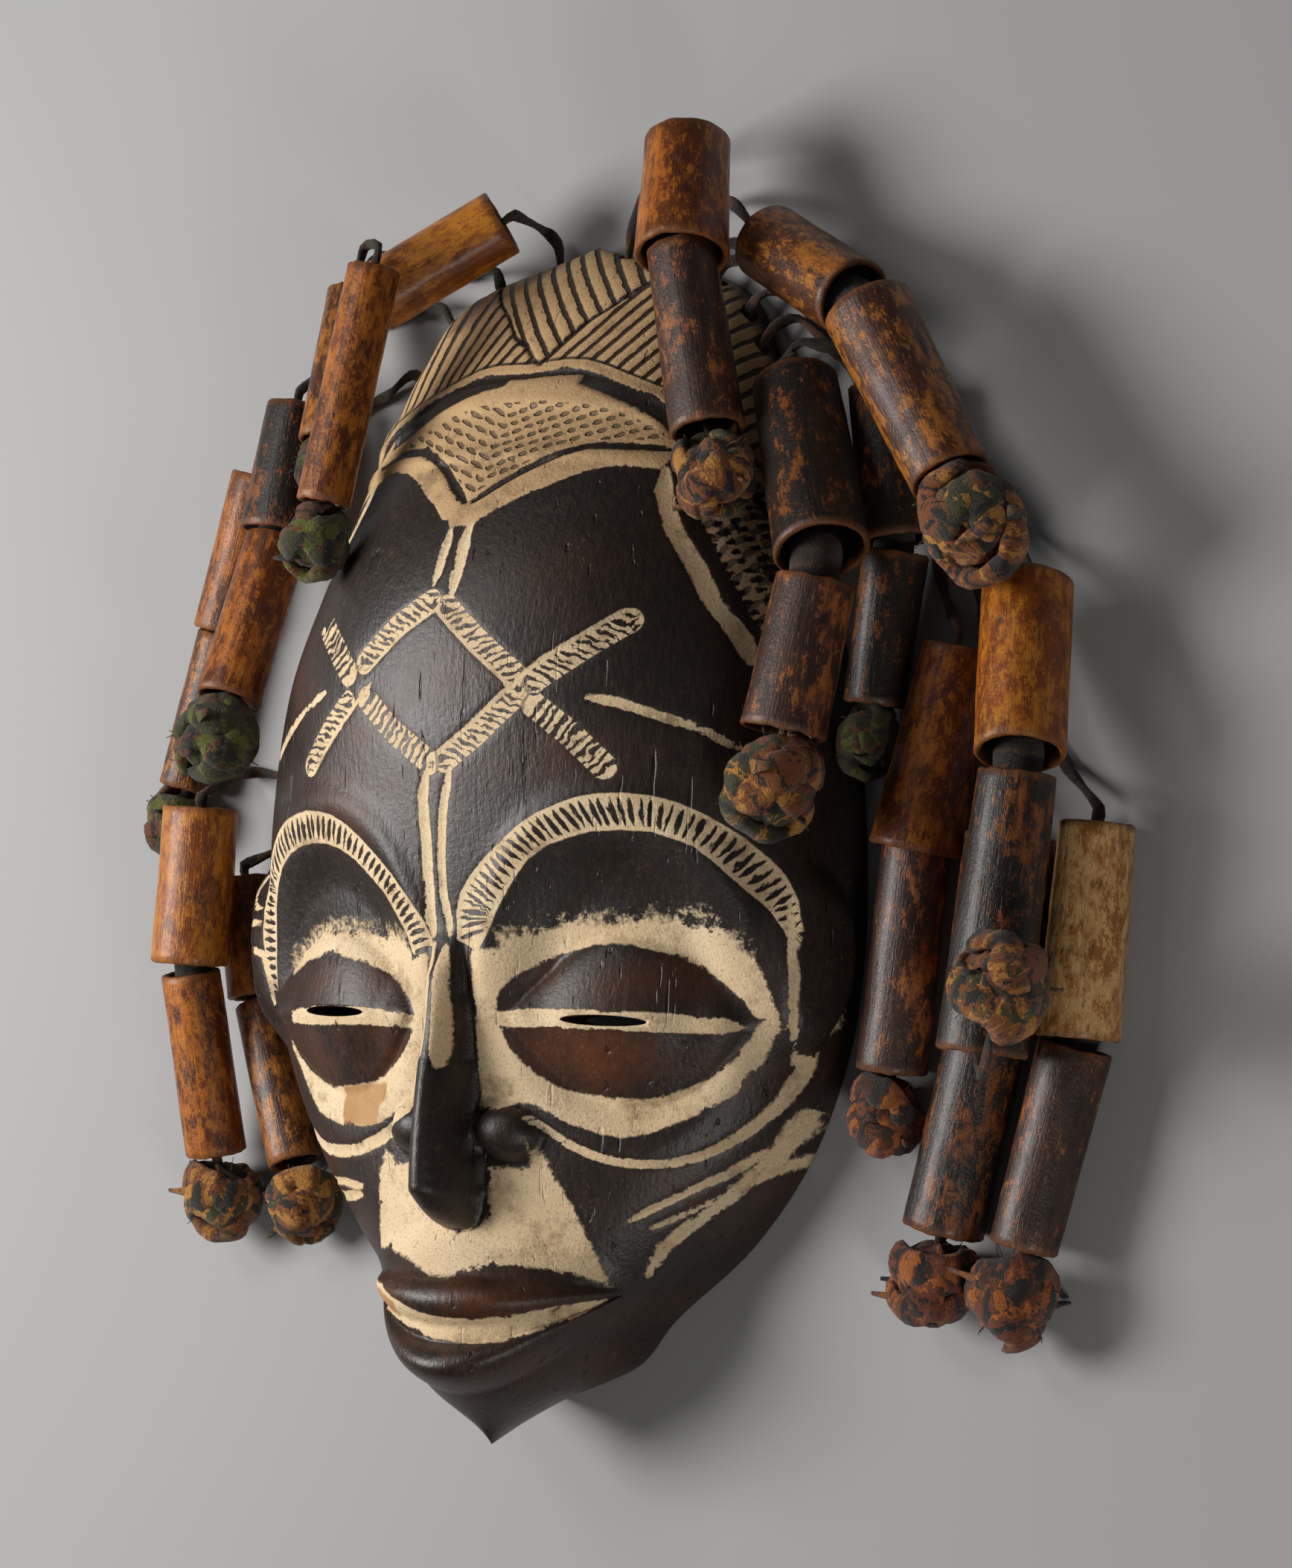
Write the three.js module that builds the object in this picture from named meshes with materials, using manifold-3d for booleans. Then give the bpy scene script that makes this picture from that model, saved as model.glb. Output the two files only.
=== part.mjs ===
// A carved wooden face mask with a headdress of bamboo tube braids, lying on its open back.
// Millimetres, +Z up. The face looks up, the crown points to +Y and the chin to -Y.
// The wood is one hollow shell with a flat rim, pierced by two eye slits and a row of lacing holes.
// Each braid is a strip of cloth that is laced through the rim, threaded through a wide and a narrow
// bamboo tube, and tied in a knot below them.
import * as THREE from "three";
import { mergeVertices } from "three/addons/utils/BufferGeometryUtils.js";
import Module from "manifold-3d";

const wasm = await Module();
wasm.setup();

// Driving dimensions of the wood
const MASK_WIDTH = 164;
const MASK_HEIGHT = 298;
const MASK_DEPTH = 65;
const RIM_WALL = 8;
const FRONT_WALL = 11;
const EAR_PROUD = 6;
const EYE_SLIT_LENGTH = 21;
const EYE_SLIT_HEIGHT = 2.4;

// Driving dimensions of the braids
const TUBE_WALL = 1.6;
const WIDE_TUBE_R = 10.5;
const NARROW_TUBE_R = 8.6;
const KNOT_R = 10;
const STRIP_R = 1.5;
const LACING_HOLE_R = 2.4;
const LACING_HEIGHT = 6;
const TOUCH_GAP = 0.35;
const MOUTH_TURN = 3.5;
const LIFT_TURN = 5.5;
const FOLD_BACK = 15;
const STOP_SLACK = 6;
const STOP_STAGGER = 8;

// Fineness of the facets
const ROWS = 48;
const COLUMNS = 28;
const INNER_ROWS = 18;
const INNER_COLUMNS = 14;
const TUBE_SIDES = 10;

const HALF_WIDTH = MASK_WIDTH / 2;
const CHIN_SHARE = -0.537;
const yAt = (share) => share * MASK_HEIGHT;

// Sections from chin to crown. along and front are shares of the height, measured from the face's
// centre to the section's rim and to its foremost point; width and depth are shares of the half
// width and of the depth; fullness is the exponent that swells the section's cheeks.
const SECTIONS = [
  { along: -0.503, width: 0, front: CHIN_SHARE, depth: 0.45, fullness: 1 },
  { along: -0.473, width: 0.27, front: -0.503, depth: 0.58, fullness: 0.95 },
  { along: -0.43, width: 0.41, front: -0.446, depth: 0.66, fullness: 1 },
  { along: -0.369, width: 0.66, front: -0.372, depth: 0.69, fullness: 0.95 },
  { along: -0.295, width: 0.85, front: -0.295, depth: 0.72, fullness: 0.85 },
  { along: -0.208, width: 0.963, front: -0.208, depth: 0.785, fullness: 0.75 },
  { along: -0.121, width: 1, front: -0.121, depth: 0.86, fullness: 0.7 },
  { along: -0.027, width: 0.988, front: -0.027, depth: 0.94, fullness: 0.72 },
  { along: 0.074, width: 0.939, front: 0.074, depth: 1, fullness: 0.8 },
  { along: 0.154, width: 0.854, front: 0.148, depth: 0.985, fullness: 0.9 },
  { along: 0.228, width: 0.77, front: 0.215, depth: 0.877, fullness: 0.95 },
  { along: 0.302, width: 0.707, front: 0.289, depth: 0.677, fullness: 0.95 },
  { along: 0.369, width: 0.62, front: 0.359, depth: 0.48, fullness: 0.9 },
  { along: 0.426, width: 0.47, front: 0.42, depth: 0.28, fullness: 0.85 },
  { along: 0.463, width: 0, front: 0.463, depth: 0.1, fullness: 0.8 },
];

const clamp = (x, low, high) => Math.min(high, Math.max(low, x));
const mix = (a, b, t) => a + (b - a) * t;
function smooth(low, high, x) {
  const t = clamp((x - low) / (high - low), 0, 1);
  return t * t * (3 - 2 * t);
}

// The section at t, from 0 at the chin to 1 at the crown, on a smooth spline through SECTIONS.
function sectionAt(t) {
  const last = SECTIONS.length - 1;
  const place = clamp(t, 0, 1) * last;
  const i = Math.min(Math.floor(place), last - 1);
  const f = place - i;
  const four = [Math.max(i - 1, 0), i, i + 1, Math.min(i + 2, last)].map((k) => SECTIONS[k]);
  const value = (key) => {
    const [a, b, c, d] = four.map((s) => s[key]);
    const bent = (2 * a - 5 * b + 4 * c - d) * f * f + (3 * b - a - 3 * c + d) * f ** 3;
    return 0.5 * (2 * b + (c - a) * f + bent);
  };
  return {
    rimY: yAt(value("along")),
    halfWidth: HALF_WIDTH * Math.max(value("width"), 0),
    frontY: yAt(value("front")),
    depth: MASK_DEPTH * value("depth"),
    fullness: value("fullness"),
  };
}

// The point of the plain oval form at t along it and at an angle across it, -90 to 90 degrees.
function formPoint(t, angle) {
  const s = sectionAt(t);
  const rise = Math.max(Math.cos(angle), 0) ** s.fullness;
  const swell = Math.abs(angle) > Math.PI / 2 - 1e-6 ? 0 : rise;
  return new THREE.Vector3(s.halfWidth * Math.sin(angle), mix(s.rimY, s.frontY, swell), s.depth * swell);
}

// The face's features, all as shares of the half width (across), of the height (along) and of the
// depth (proud), so that they grow with the wood.
const FACE = {
  socket: { across: 0.5, along: -0.164, halfAcross: 0.402, halfAlong: 0.144, sunk: 0.092 },
  lid: { across: 0.512, along: -0.191, halfAcross: 0.341, halfAlong: 0.067, proud: 0.138 },
  browRing: { width: 0.028, proud: 0.02 },
  nose: {
    top: -0.112,
    end: -0.362,
    across: -0.018,
    rootHalf: 0.046,
    tipHalf: 0.09,
    rootProud: 0.09,
    tipProud: 0.285,
  },
  nostril: { across: 0.159, along: -0.2835, halfAcross: 0.104, halfAlong: 0.022, proud: 0.1 },
  muzzle: { along: -0.44, halfAcross: 0.512, halfAlong: 0.074, proud: 0.138 },
  mouth: { along: -0.446, corner: 0.44, rise: 0.04, gap: 0.0074, upper: 0.0386, lower: 0.0403 },
  lipProud: { upper: 0.069, lower: 0.092 },
  headband: { along: 0.322, droop: 0.075, half: 0.0135, proud: 0.03 },
  hairline: { along: 0.268, droop: 0.02, half: 0.007, proud: 0.016 },
  ear: { along: -0.141, halfAlong: 0.087, up: 0.338, halfUp: 0.23 },
};

function socketRise(x, y) {
  const { socket, lid, browRing } = FACE;
  const r = Math.hypot(
    (Math.abs(x) / HALF_WIDTH - socket.across) / socket.halfAcross,
    (y / MASK_HEIGHT - socket.along) / socket.halfAlong,
  );
  const bowl = -socket.sunk * (1 - smooth(0.5, 0.92, r));
  const acrossLid = (Math.abs(x) / HALF_WIDTH - lid.across) / lid.halfAcross;
  const alongLid = (y / MASK_HEIGHT - lid.along) / lid.halfAlong;
  const almond = clamp(1 - acrossLid ** 2 - Math.abs(alongLid), 0, 1);
  const fromRing = (r - 1) * socket.halfAlong;
  const ridge = Math.exp(-((fromRing / (browRing.width / 2)) ** 2));
  const ring = browRing.proud * ridge * smooth(-0.2, 0.25, alongLid);
  return bowl + lid.proud * almond ** 0.6 + ring;
}

function noseRise(x, y) {
  const { nose, nostril } = FACE;
  const across = x / HALF_WIDTH;
  const along = y / MASK_HEIGHT;
  const down = clamp((nose.top - along) / (nose.top - nose.end), 0, 1);
  const rounded = Math.sqrt(clamp((along - nose.end) / 0.03, 0, 1));
  const half = mix(nose.rootHalf, nose.tipHalf, down) * mix(0.45, 1, rounded);
  const proud = mix(nose.rootProud, nose.tipProud, smooth(0, 0.85, down));
  const height = proud * rounded * smooth(-0.115, -0.165, along);
  const ridge = height * Math.sqrt(clamp(1 - ((across - nose.across) / half) ** 2, 0, 1));
  const wingR = Math.hypot(
    (Math.abs(across) - nostril.across) / nostril.halfAcross,
    (along - nostril.along) / nostril.halfAlong,
  );
  return Math.max(ridge, nostril.proud * Math.sqrt(clamp(1 - wingR ** 2, 0, 1)));
}

function mouthRise(x, y) {
  const { muzzle, mouth, lipProud } = FACE;
  const across = x / HALF_WIDTH;
  const along = y / MASK_HEIGHT;
  const mound = Math.hypot(across / muzzle.halfAcross, (along - muzzle.along) / muzzle.halfAlong);
  const taper = clamp(1 - (across / mouth.corner) ** 2, 0, 1);
  const parting = mouth.along + mouth.rise * Math.min((across / mouth.corner) ** 2, 1);
  const lip = (start, thickness) => {
    const share = clamp(start / Math.max(thickness * taper, 1e-4), 0, 1);
    return Math.sqrt(taper) * Math.sin(Math.PI * share) ** 0.7;
  };
  const upper = lipProud.upper * lip(along - parting - mouth.gap * taper, mouth.upper);
  const lower = lipProud.lower * lip(parting - mouth.gap * taper - along, mouth.lower);
  return muzzle.proud * (1 - smooth(0.45, 1.15, mound)) + upper + lower;
}

// The raised bands of the headdress: a wavy headband across the crown and the hairline's border.
function bandRise(x, y) {
  const along = y / MASK_HEIGHT;
  const bow = (x / HALF_WIDTH) ** 2;
  const band = ({ along: middle, droop, half, proud }) => {
    const off = (along - middle + droop * bow) / half;
    return proud * Math.exp(-(off ** 4));
  };
  return band(FACE.headband) + band(FACE.hairline);
}

function carve(point) {
  const { x, y, z } = point;
  const rise = socketRise(x, y) + noseRise(x, y) + mouthRise(x, y) + bandRise(x, y);
  point.z += MASK_DEPTH * rise * smooth(0, 0.18 * MASK_DEPTH, z);
  const { ear } = FACE;
  const alongEar = (y / MASK_HEIGHT - ear.along) / ear.halfAlong;
  const fromEar = Math.hypot(alongEar, (z / MASK_DEPTH - ear.up) / ear.halfUp);
  if (Math.abs(x) > HALF_WIDTH * 0.6) point.x += Math.sign(x) * EAR_PROUD * (1 - smooth(0.55, 1, fromEar));
  return point;
}

// The inside: the same oval, plain, drawn in by the wall, and reaching just past the rim's plane.
function hollowPoint(t, angle) {
  const inward = mix(0.06, 0.955, t);
  const p = formPoint(inward, angle);
  const s = sectionAt(inward);
  const share = clamp(p.z / s.depth, 0, 1);
  const narrowed = Math.max(s.halfWidth - RIM_WALL, 0) / Math.max(s.halfWidth, 1e-6);
  const openEnd = -2;
  return new THREE.Vector3(
    p.x * narrowed,
    p.y,
    mix(openEnd, Math.max(s.depth - FRONT_WALL, 2), share ** 1.15),
  );
}

const evenly = (count) => Array.from({ length: count + 1 }, (_, i) => i / count);
// Rows are closer together at both ends, columns are closer together along the nose.
const rowAt = (u) => 0.65 * u + (0.35 * (1 - Math.cos(Math.PI * u))) / 2;
const angleAt = (u) => {
  const side = 2 * u - 1;
  return (Math.PI / 2) * (0.5 * side + 0.5 * side ** 3);
};

// A closed solid from a grid of points whose two edge columns lie in one plane, closed across them.
function domeSolid(rows, columns, pointAt) {
  const grid = evenly(rows).map((v) => evenly(columns).map((u) => pointAt(rowAt(v), angleAt(u))));
  const corners = [];
  const quad = (a, b, c, d) => corners.push(a, b, c, a, c, d);
  for (let i = 0; i < rows; i++) {
    for (let j = 0; j < columns; j++) quad(grid[i][j], grid[i][j + 1], grid[i + 1][j + 1], grid[i + 1][j]);
    quad(grid[i][columns], grid[i][0], grid[i + 1][0], grid[i + 1][columns]);
  }
  const isWide = (row) => row[0].distanceTo(row[columns]) > 0.01;
  const [first, last] = [grid[0], grid[rows]];
  for (let j = 1; j < columns; j++) {
    if (isWide(first)) corners.push(first[0], first[j + 1], first[j]);
    if (isWide(last)) corners.push(last[0], last[j], last[j + 1]);
  }
  return solidFrom(new THREE.BufferGeometry().setFromPoints(corners));
}

// Three.js geometry to a solid and back
function solidFrom(geometry) {
  const bare = geometry.index ? geometry.toNonIndexed() : geometry.clone();
  bare.deleteAttribute("normal");
  bare.deleteAttribute("uv");
  const merged = mergeVertices(bare, 1e-3);
  const index = [];
  const all = merged.index.array;
  for (let i = 0; i < all.length; i += 3) {
    const [a, b, c] = all.slice(i, i + 3);
    if (a !== b && b !== c && c !== a) index.push(a, b, c);
  }
  return new wasm.Manifold(
    new wasm.Mesh({
      numProp: 3,
      vertProperties: new Float32Array(merged.attributes.position.array),
      triVerts: new Uint32Array(index),
    }),
  );
}

function geometryFrom(solid) {
  const { vertProperties, triVerts, numProp } = solid.getMesh();
  const positions = new Float32Array((vertProperties.length / numProp) * 3);
  for (let i = 0; i < positions.length; i++) {
    positions[i] = vertProperties[Math.floor(i / 3) * numProp + (i % 3)];
  }
  const geometry = new THREE.BufferGeometry();
  geometry.setAttribute("position", new THREE.BufferAttribute(positions, 3));
  geometry.setIndex(new THREE.BufferAttribute(new Uint32Array(triVerts), 1));
  geometry.computeVertexNormals();
  return geometry;
}

// Places a geometry that was made along +Y so that +Y runs from one point towards another.
function aimed(geometry, from, towards) {
  const direction = new THREE.Vector3().subVectors(towards, from).normalize();
  const turn = new THREE.Quaternion().setFromUnitVectors(new THREE.Vector3(0, 1, 0), direction);
  return geometry.applyQuaternion(turn).translate(from.x, from.y, from.z);
}

const point = (x, y, z) => new THREE.Vector3(x, y, z);

// Half the outline's width at the rim, at a place along the mask, found on the finished form.
const OUTLINE = evenly(240).map((u) => formPoint(u, Math.PI / 2));
function rimHalfWidth(y) {
  let nearest = OUTLINE[0];
  for (const p of OUTLINE) if (Math.abs(p.y - y) < Math.abs(nearest.y - y)) nearest = p;
  return nearest.x;
}

// Where a braid's strip leaves the rim, at a distance in millimetres round the rim from the middle of
// the crown, and the way out through it, between square to the rim and straight out from the middle.
function lacingPlace(side, distance) {
  let gone = 0;
  let i = OUTLINE.length - 1;
  while (i > 1 && gone < distance) {
    gone += OUTLINE[i].distanceTo(OUTLINE[i - 1]);
    i--;
  }
  const along = OUTLINE[i + 1].clone().sub(OUTLINE[i - 1]).normalize();
  const radial = point(OUTLINE[i].x, OUTLINE[i].y, 0).normalize();
  const outward = point(side * (along.y + 2 * radial.x), -along.x + 2 * radial.y, 0).normalize();
  return { at: point(side * OUTLINE[i].x, OUTLINE[i].y, LACING_HEIGHT), outward };
}

// The braids. side is +1 towards +X. lacing is the lacing hole's distance round the rim from the middle
// of the crown. Every place is [across, along, up]: across is how far it lies outside the rim's half
// width and up how far it is raised from the ground, both in millimetres, and along is a share of the
// height. run lists the strip's way to the first tube, top, joint and foot the ends of the two tubes.
// wide and narrow are the girths at the top and the foot of each tube, as shares of WIDE_TUBE_R and
// NARROW_TUBE_R, and knot is a share of KNOT_R.
const BRAIDS = [
  { name: "right_4", side: 1, lacing: 68,
    run: [[11, 0.369, 6], [22.5, 0.357, 9]],
    top: [31.5, 0.326, 2.5], joint: [28, 0.2, 2.5], foot: [10.5, 0.068, 4.5],
    wide: [0.8, 0.86], narrow: [0.94, 0.87], knot: 0.8 },
  { name: "right_5", side: 1, lacing: 59.5,
    run: [[9.5, 0.393], [18.5, 0.349], [26.5, 0.282], [32, 0.208], [31.5, 0.161]],
    top: [34.5, 0.118, 0.5], joint: [17.5, -0.045, 1], foot: [17.5, -0.221, 1],
    wide: [0.76, 1.1], narrow: [0.97, 1], knot: 0.92 },
  { name: "right_8", side: 1, lacing: 50,
    run: [[13.5, 0.409], [24, 0.362], [31.5, 0.295], [38.5, 0.221], [40.5, 0.148], [37.5, 0.04]],
    top: [42, -0.032], joint: [42, -0.189, 0], foot: [51, -0.344, 1],
    wide: [1.02, 1.1], narrow: [1.1, 1.13], knot: 1.05 },
  { name: "right_7", side: 1, lacing: 37,
    run: [
      [19.5, 0.43],
      [30, 0.376],
      [36.5, 0.309],
      [44.5, 0.235],
      [47, 0.154],
      [49.5, 0.067],
      [54.5, 0.027],
    ],
    top: [64.5, -0.023], joint: [64.5, -0.19, 0], foot: [73.5, -0.352, 4],
    wide: [0.84, 0.95], narrow: [1.02, 0.94], knot: 1.1 },
  { name: "right_6", side: 1, lacing: 26.5,
    run: [[36, 0.46], [37.5, 0.446], [36, 0.389], [42, 0.322], [49.5, 0.252], [54.5, 0.215]],
    top: [60.5, 0.161, 4.5], joint: [57, 0.024, 17], foot: [52, -0.205, 20.5],
    wide: [1.02, 1.02], narrow: [1.06, 1.24], knot: 1.15, folded: true },
  { name: "right_3", side: 1, lacing: 78,
    run: [[7.5, 0.357, 7]],
    top: [15.5, 0.327, 10], joint: [21, 0.181, 27], foot: [3, 0.037, 32.5],
    wide: [1, 1.1], narrow: [1.1, 1.2], knot: 1.2 },
  { name: "right_2", side: 1, lacing: 17,
    run: [[24, 0.483], [38, 0.493, 4]],
    top: [38.5, 0.449, 5.5], joint: [40.5, 0.374, 15], foot: [56.5, 0.233, 23],
    wide: [0.92, 0.94], narrow: [1.27, 1.12], knot: 1.25 },
  { name: "right_1", side: 1, lacing: 8,
    run: [[9, 0.503], [17, 0.523, 2], [25, 0.533, 9]],
    top: [37, 0.531, 13.5], joint: [5.5, 0.427, 23], foot: [-3, 0.277, 27],
    wide: [1, 1.1], narrow: [0.96, 1.08], knot: 1.0 },
  { name: "left_6", side: -1, lacing: 168,
    run: [[10.5, -0.04]],
    top: [19.5, -0.075, 0], joint: [15.5, -0.179, 0], foot: [13.5, -0.321, 2.5],
    wide: [0.72, 0.72], narrow: [0.72, 0.84], knot: 0.95 },
  { name: "left_5", side: -1, lacing: 148,
    run: [[14.5, 0.02], [26.5, 0.02]],
    top: [21.5, -0.017, 15], joint: [23, -0.153, 13], foot: [36, -0.316, 5],
    wide: [0.94, 0.96], narrow: [0.9, 0.92], knot: 1.05 },
  { name: "left_4", side: -1, lacing: 66,
    run: [[14.5, 0.349], [29.5, 0.329], [39, 0.326]],
    top: [43.5, 0.282, 0], joint: [41.5, 0.143, 0], foot: [42, 0.004, 1.5],
    wide: [0.74, 0.78], narrow: [0.8, 0.85], knot: 0.88 },
  { name: "left_3", side: -1, lacing: 48,
    run: [[18, 0.423], [29.5, 0.409], [37, 0.383]],
    top: [33, 0.339, 6.5], joint: [26.5, 0.226, 6.5], foot: [14.5, 0.068, 22.5],
    wide: [0.76, 0.98], narrow: [0.96, 1.02], knot: 1.1 },
  { name: "left_2", side: -1, lacing: 30,
    run: [[27.5, 0.45], [62, 0.466], [71, 0.477]],
    top: [39, 0.433, 5.5], foot: [13.5, 0.295, 17.5], narrow: [0.82, 0.82], knot: 0.7 },
  { name: "left_1", side: -1, lacing: 12,
    run: [[16, 0.48, 4]],
    top: [19.5, 0.48, 12], joint: [5, 0.412, 25], foot: [-17, 0.227, 46],
    wide: [0.84, 0.86], narrow: [0.78, 0.8], knot: 0.9, lifted: true },
];

const braidPoint = (side, [across, share, up = 0], radius = 0) => {
  const y = yAt(share);
  return point(side * (rimHalfWidth(y) + across), y, radius + up);
};

// The shortest way from one straight piece, c to d, to another, a to b, and where on a to b it ends.
function shortestWay(a, b, c, d) {
  const u = b.clone().sub(a);
  const v = d.clone().sub(c);
  const w = a.clone().sub(c);
  const uu = u.dot(u);
  const vv = v.dot(v);
  const uv = u.dot(v);
  const slope = uu * vv - uv * uv;
  const free = slope < 1e-9 ? 0.5 : clamp((uv * v.dot(w) - vv * u.dot(w)) / slope, 0, 1);
  const t = vv < 1e-9 ? 0 : clamp((v.dot(w) + free * uv) / vv, 0, 1);
  const s = uu < 1e-9 ? 0 : clamp((t * uv - u.dot(w)) / uu, 0, 1);
  const way = a.clone().addScaledVector(u, s).sub(c.clone().addScaledVector(v, t));
  return { way, s };
}

// What the tubes are laid against: rods with a radius, and dots on the wood's outside.
const rods = [];
const woodDots = evenly(90).flatMap((v) => evenly(60).map((u) => carve(formPoint(rowAt(v), angleAt(u)))));
const DOT_R = 0.8;

// The side of a tube that faces up and out, away from the face.
const OPEN_SIDE = point(0.545, -0.07, 0.835);

// Moves the ends of a chain of tubes by the least that clears the ground, the wood and what is there.
function layDown(ends, radii, name) {
  const settled = ends.map((p) => p.clone());
  const girths = settled.map((_, i) => {
    const above = radii[Math.max(i - 1, 0)][i > 0 ? 1 : 0];
    return Math.max(above, (radii[i] ?? [0])[0]);
  });
  const others = rods.filter((rod) => rod.braid !== name);
  const isNear = (dot) => settled.some((p) => Math.hypot(dot.x - p.x, dot.y - p.y) < 50);
  for (const dot of woodDots.filter(isNear)) others.push({ from: dot, to: dot, radius: DOT_R });
  for (let round = 0; round < 120; round++) {
    let worst = 0;
    for (let i = 0; i + 1 < settled.length; i++) {
      const [a, b] = [settled[i], settled[i + 1]];
      for (const { from, to, radius, braid } of others) {
        const { way, s } = shortestWay(a, b, from, to);
        const short = mix(radii[i][0], radii[i][1], s) + 2 * TOUCH_GAP + radius - way.length();
        const beyondEnd = braid && s === 0 && Math.abs(way.dot(b.clone().sub(a).normalize())) > 1.5;
        if (short < 0.01 || beyondEnd) continue;
        worst = Math.max(worst, short);
        way.z = Math.max(way.z, 0);
        way.normalize();
        a.addScaledVector(way, short * (1 - s));
        b.addScaledVector(way, short * s);
      }
    }
    settled.forEach((p, i) => {
      p.z = Math.max(p.z, girths[i]);
    });
    if (worst < 0.05) break;
  }
  return settled;
}

// How deep a tube's round end can slip into the next tube's bore when the two meet at an angle.
function slipDepth(bore, radius, bend) {
  const inside = bore * Math.cos(Math.PI / TUBE_SIDES) - TOUCH_GAP;
  const room = inside - radius / Math.cos(bend);
  if (room > 0) return Math.min(room / Math.max(Math.tan(bend), 0.02), 7);
  return -(radius * Math.sin(bend) + TOUCH_GAP) / Math.cos(bend);
}

// An open bamboo tube, from one end to the other, with a bore all through.
function tubeGeometry(from, to, startR, endR) {
  const length = from.distanceTo(to);
  const profile = [
    [startR - TUBE_WALL, 0],
    [startR, 0],
    [endR, length],
    [endR - TUBE_WALL, length],
    [startR - TUBE_WALL, 0],
  ].map(([r, y]) => new THREE.Vector2(r, y));
  return aimed(new THREE.LatheGeometry(profile, TUBE_SIDES), from, to);
}

// A lumpy ball of knotted cloth.
function knotGeometry(centre, radius, seed) {
  const ball = new THREE.SphereGeometry(radius, 8, 5);
  const at = ball.attributes.position;
  for (let i = 0; i < at.count; i++) {
    const p = new THREE.Vector3().fromBufferAttribute(at, i);
    const angle = Math.atan2(p.z, p.x);
    const fromPole = 1 - (p.y / radius) ** 2;
    const fold = Math.sin(3 * angle + seed) * Math.cos((2.5 * p.y) / radius + seed);
    const lump = 0.94 + 0.07 * fromPole * fold;
    p.multiplyScalar(lump);
    at.setXYZ(i, p.x, p.y, p.z);
  }
  return ball.translate(centre.x, centre.y, centre.z);
}

// The strip: a square cord of rolled cloth through all its points, with smooth bends between the rim
// and the first tube.
function stripGeometry(start, bends, straight) {
  const curve = new THREE.CatmullRomCurve3(bends, false, "centripetal");
  const free = curve.getPoints(Math.ceil(1.5 * bends.length));
  for (const p of free) p.z = Math.max(p.z, STRIP_R + TOUCH_GAP);
  const all = [start, ...free, ...straight];
  const ring = [
    [STRIP_R, 0],
    [0, STRIP_R],
    [-STRIP_R, 0],
    [0, -STRIP_R],
  ].map(([x, y]) => new THREE.Vector2(x, y));
  return solidAlong(all, ring);
}

// A section swept through points, turned as little as possible from one to the next, with flat ends.
function solidAlong(points, ring) {
  const frames = [];
  let side = new THREE.Vector3(0, 0, 1);
  for (let i = 0; i < points.length; i++) {
    const before = points[Math.max(i - 1, 0)];
    const after = points[Math.min(i + 1, points.length - 1)];
    const ahead = after.clone().sub(before).normalize();
    side = side.clone().addScaledVector(ahead, -side.dot(ahead)).normalize();
    const up = ahead.clone().cross(side);
    frames.push(ring.map((v) => points[i].clone().addScaledVector(side, v.x).addScaledVector(up, v.y)));
  }
  const corners = [];
  const n = ring.length;
  for (let i = 0; i + 1 < frames.length; i++) {
    for (let k = 0; k < n; k++) {
      const next = (k + 1) % n;
      const [a, b, c, d] = [frames[i][k], frames[i][next], frames[i + 1][next], frames[i + 1][k]];
      corners.push(a, b, c, a, c, d);
    }
  }
  const [first, last] = [frames[0], frames[frames.length - 1]];
  for (let k = 1; k + 1 < n; k++) {
    corners.push(first[0], first[k + 1], first[k], last[0], last[k], last[k + 1]);
  }
  return solidFrom(new THREE.BufferGeometry().setFromPoints(corners));
}

const root = new THREE.Group();
const woodColour = new THREE.MeshStandardMaterial({ color: 0x2b1c14, roughness: 0.5, metalness: 0 });
const clothColour = new THREE.MeshStandardMaterial({ color: 0x7a4a1c, roughness: 0.95, metalness: 0 });
const caneColour = [0x5a2f17, 0x3a2418, 0x7a4a20, 0x2f1f18].map(
  (color) => new THREE.MeshStandardMaterial({ color, roughness: 0.45, metalness: 0 }),
);

function addNode(name, geometry, material) {
  const mesh = new THREE.Mesh(geometry, material);
  mesh.name = name;
  root.add(mesh);
}

// First the strips' ways over the ground, because the tubes lie on them.
const ways = BRAIDS.map((braid) => {
  const { at, outward } = lacingPlace(braid.side, braid.lacing);
  const groundZ = STRIP_R + TOUCH_GAP;
  const run = braid.run.map((place) => braidPoint(braid.side, place, groundZ));
  const out = at.clone().addScaledVector(outward, 3.5);
  [out, ...run].forEach((p, i, all) => {
    if (i > 0) rods.push({ from: all[i - 1], to: p, radius: STRIP_R, braid: braid.name });
  });
  return { at, outward, out, run };
});

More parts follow.
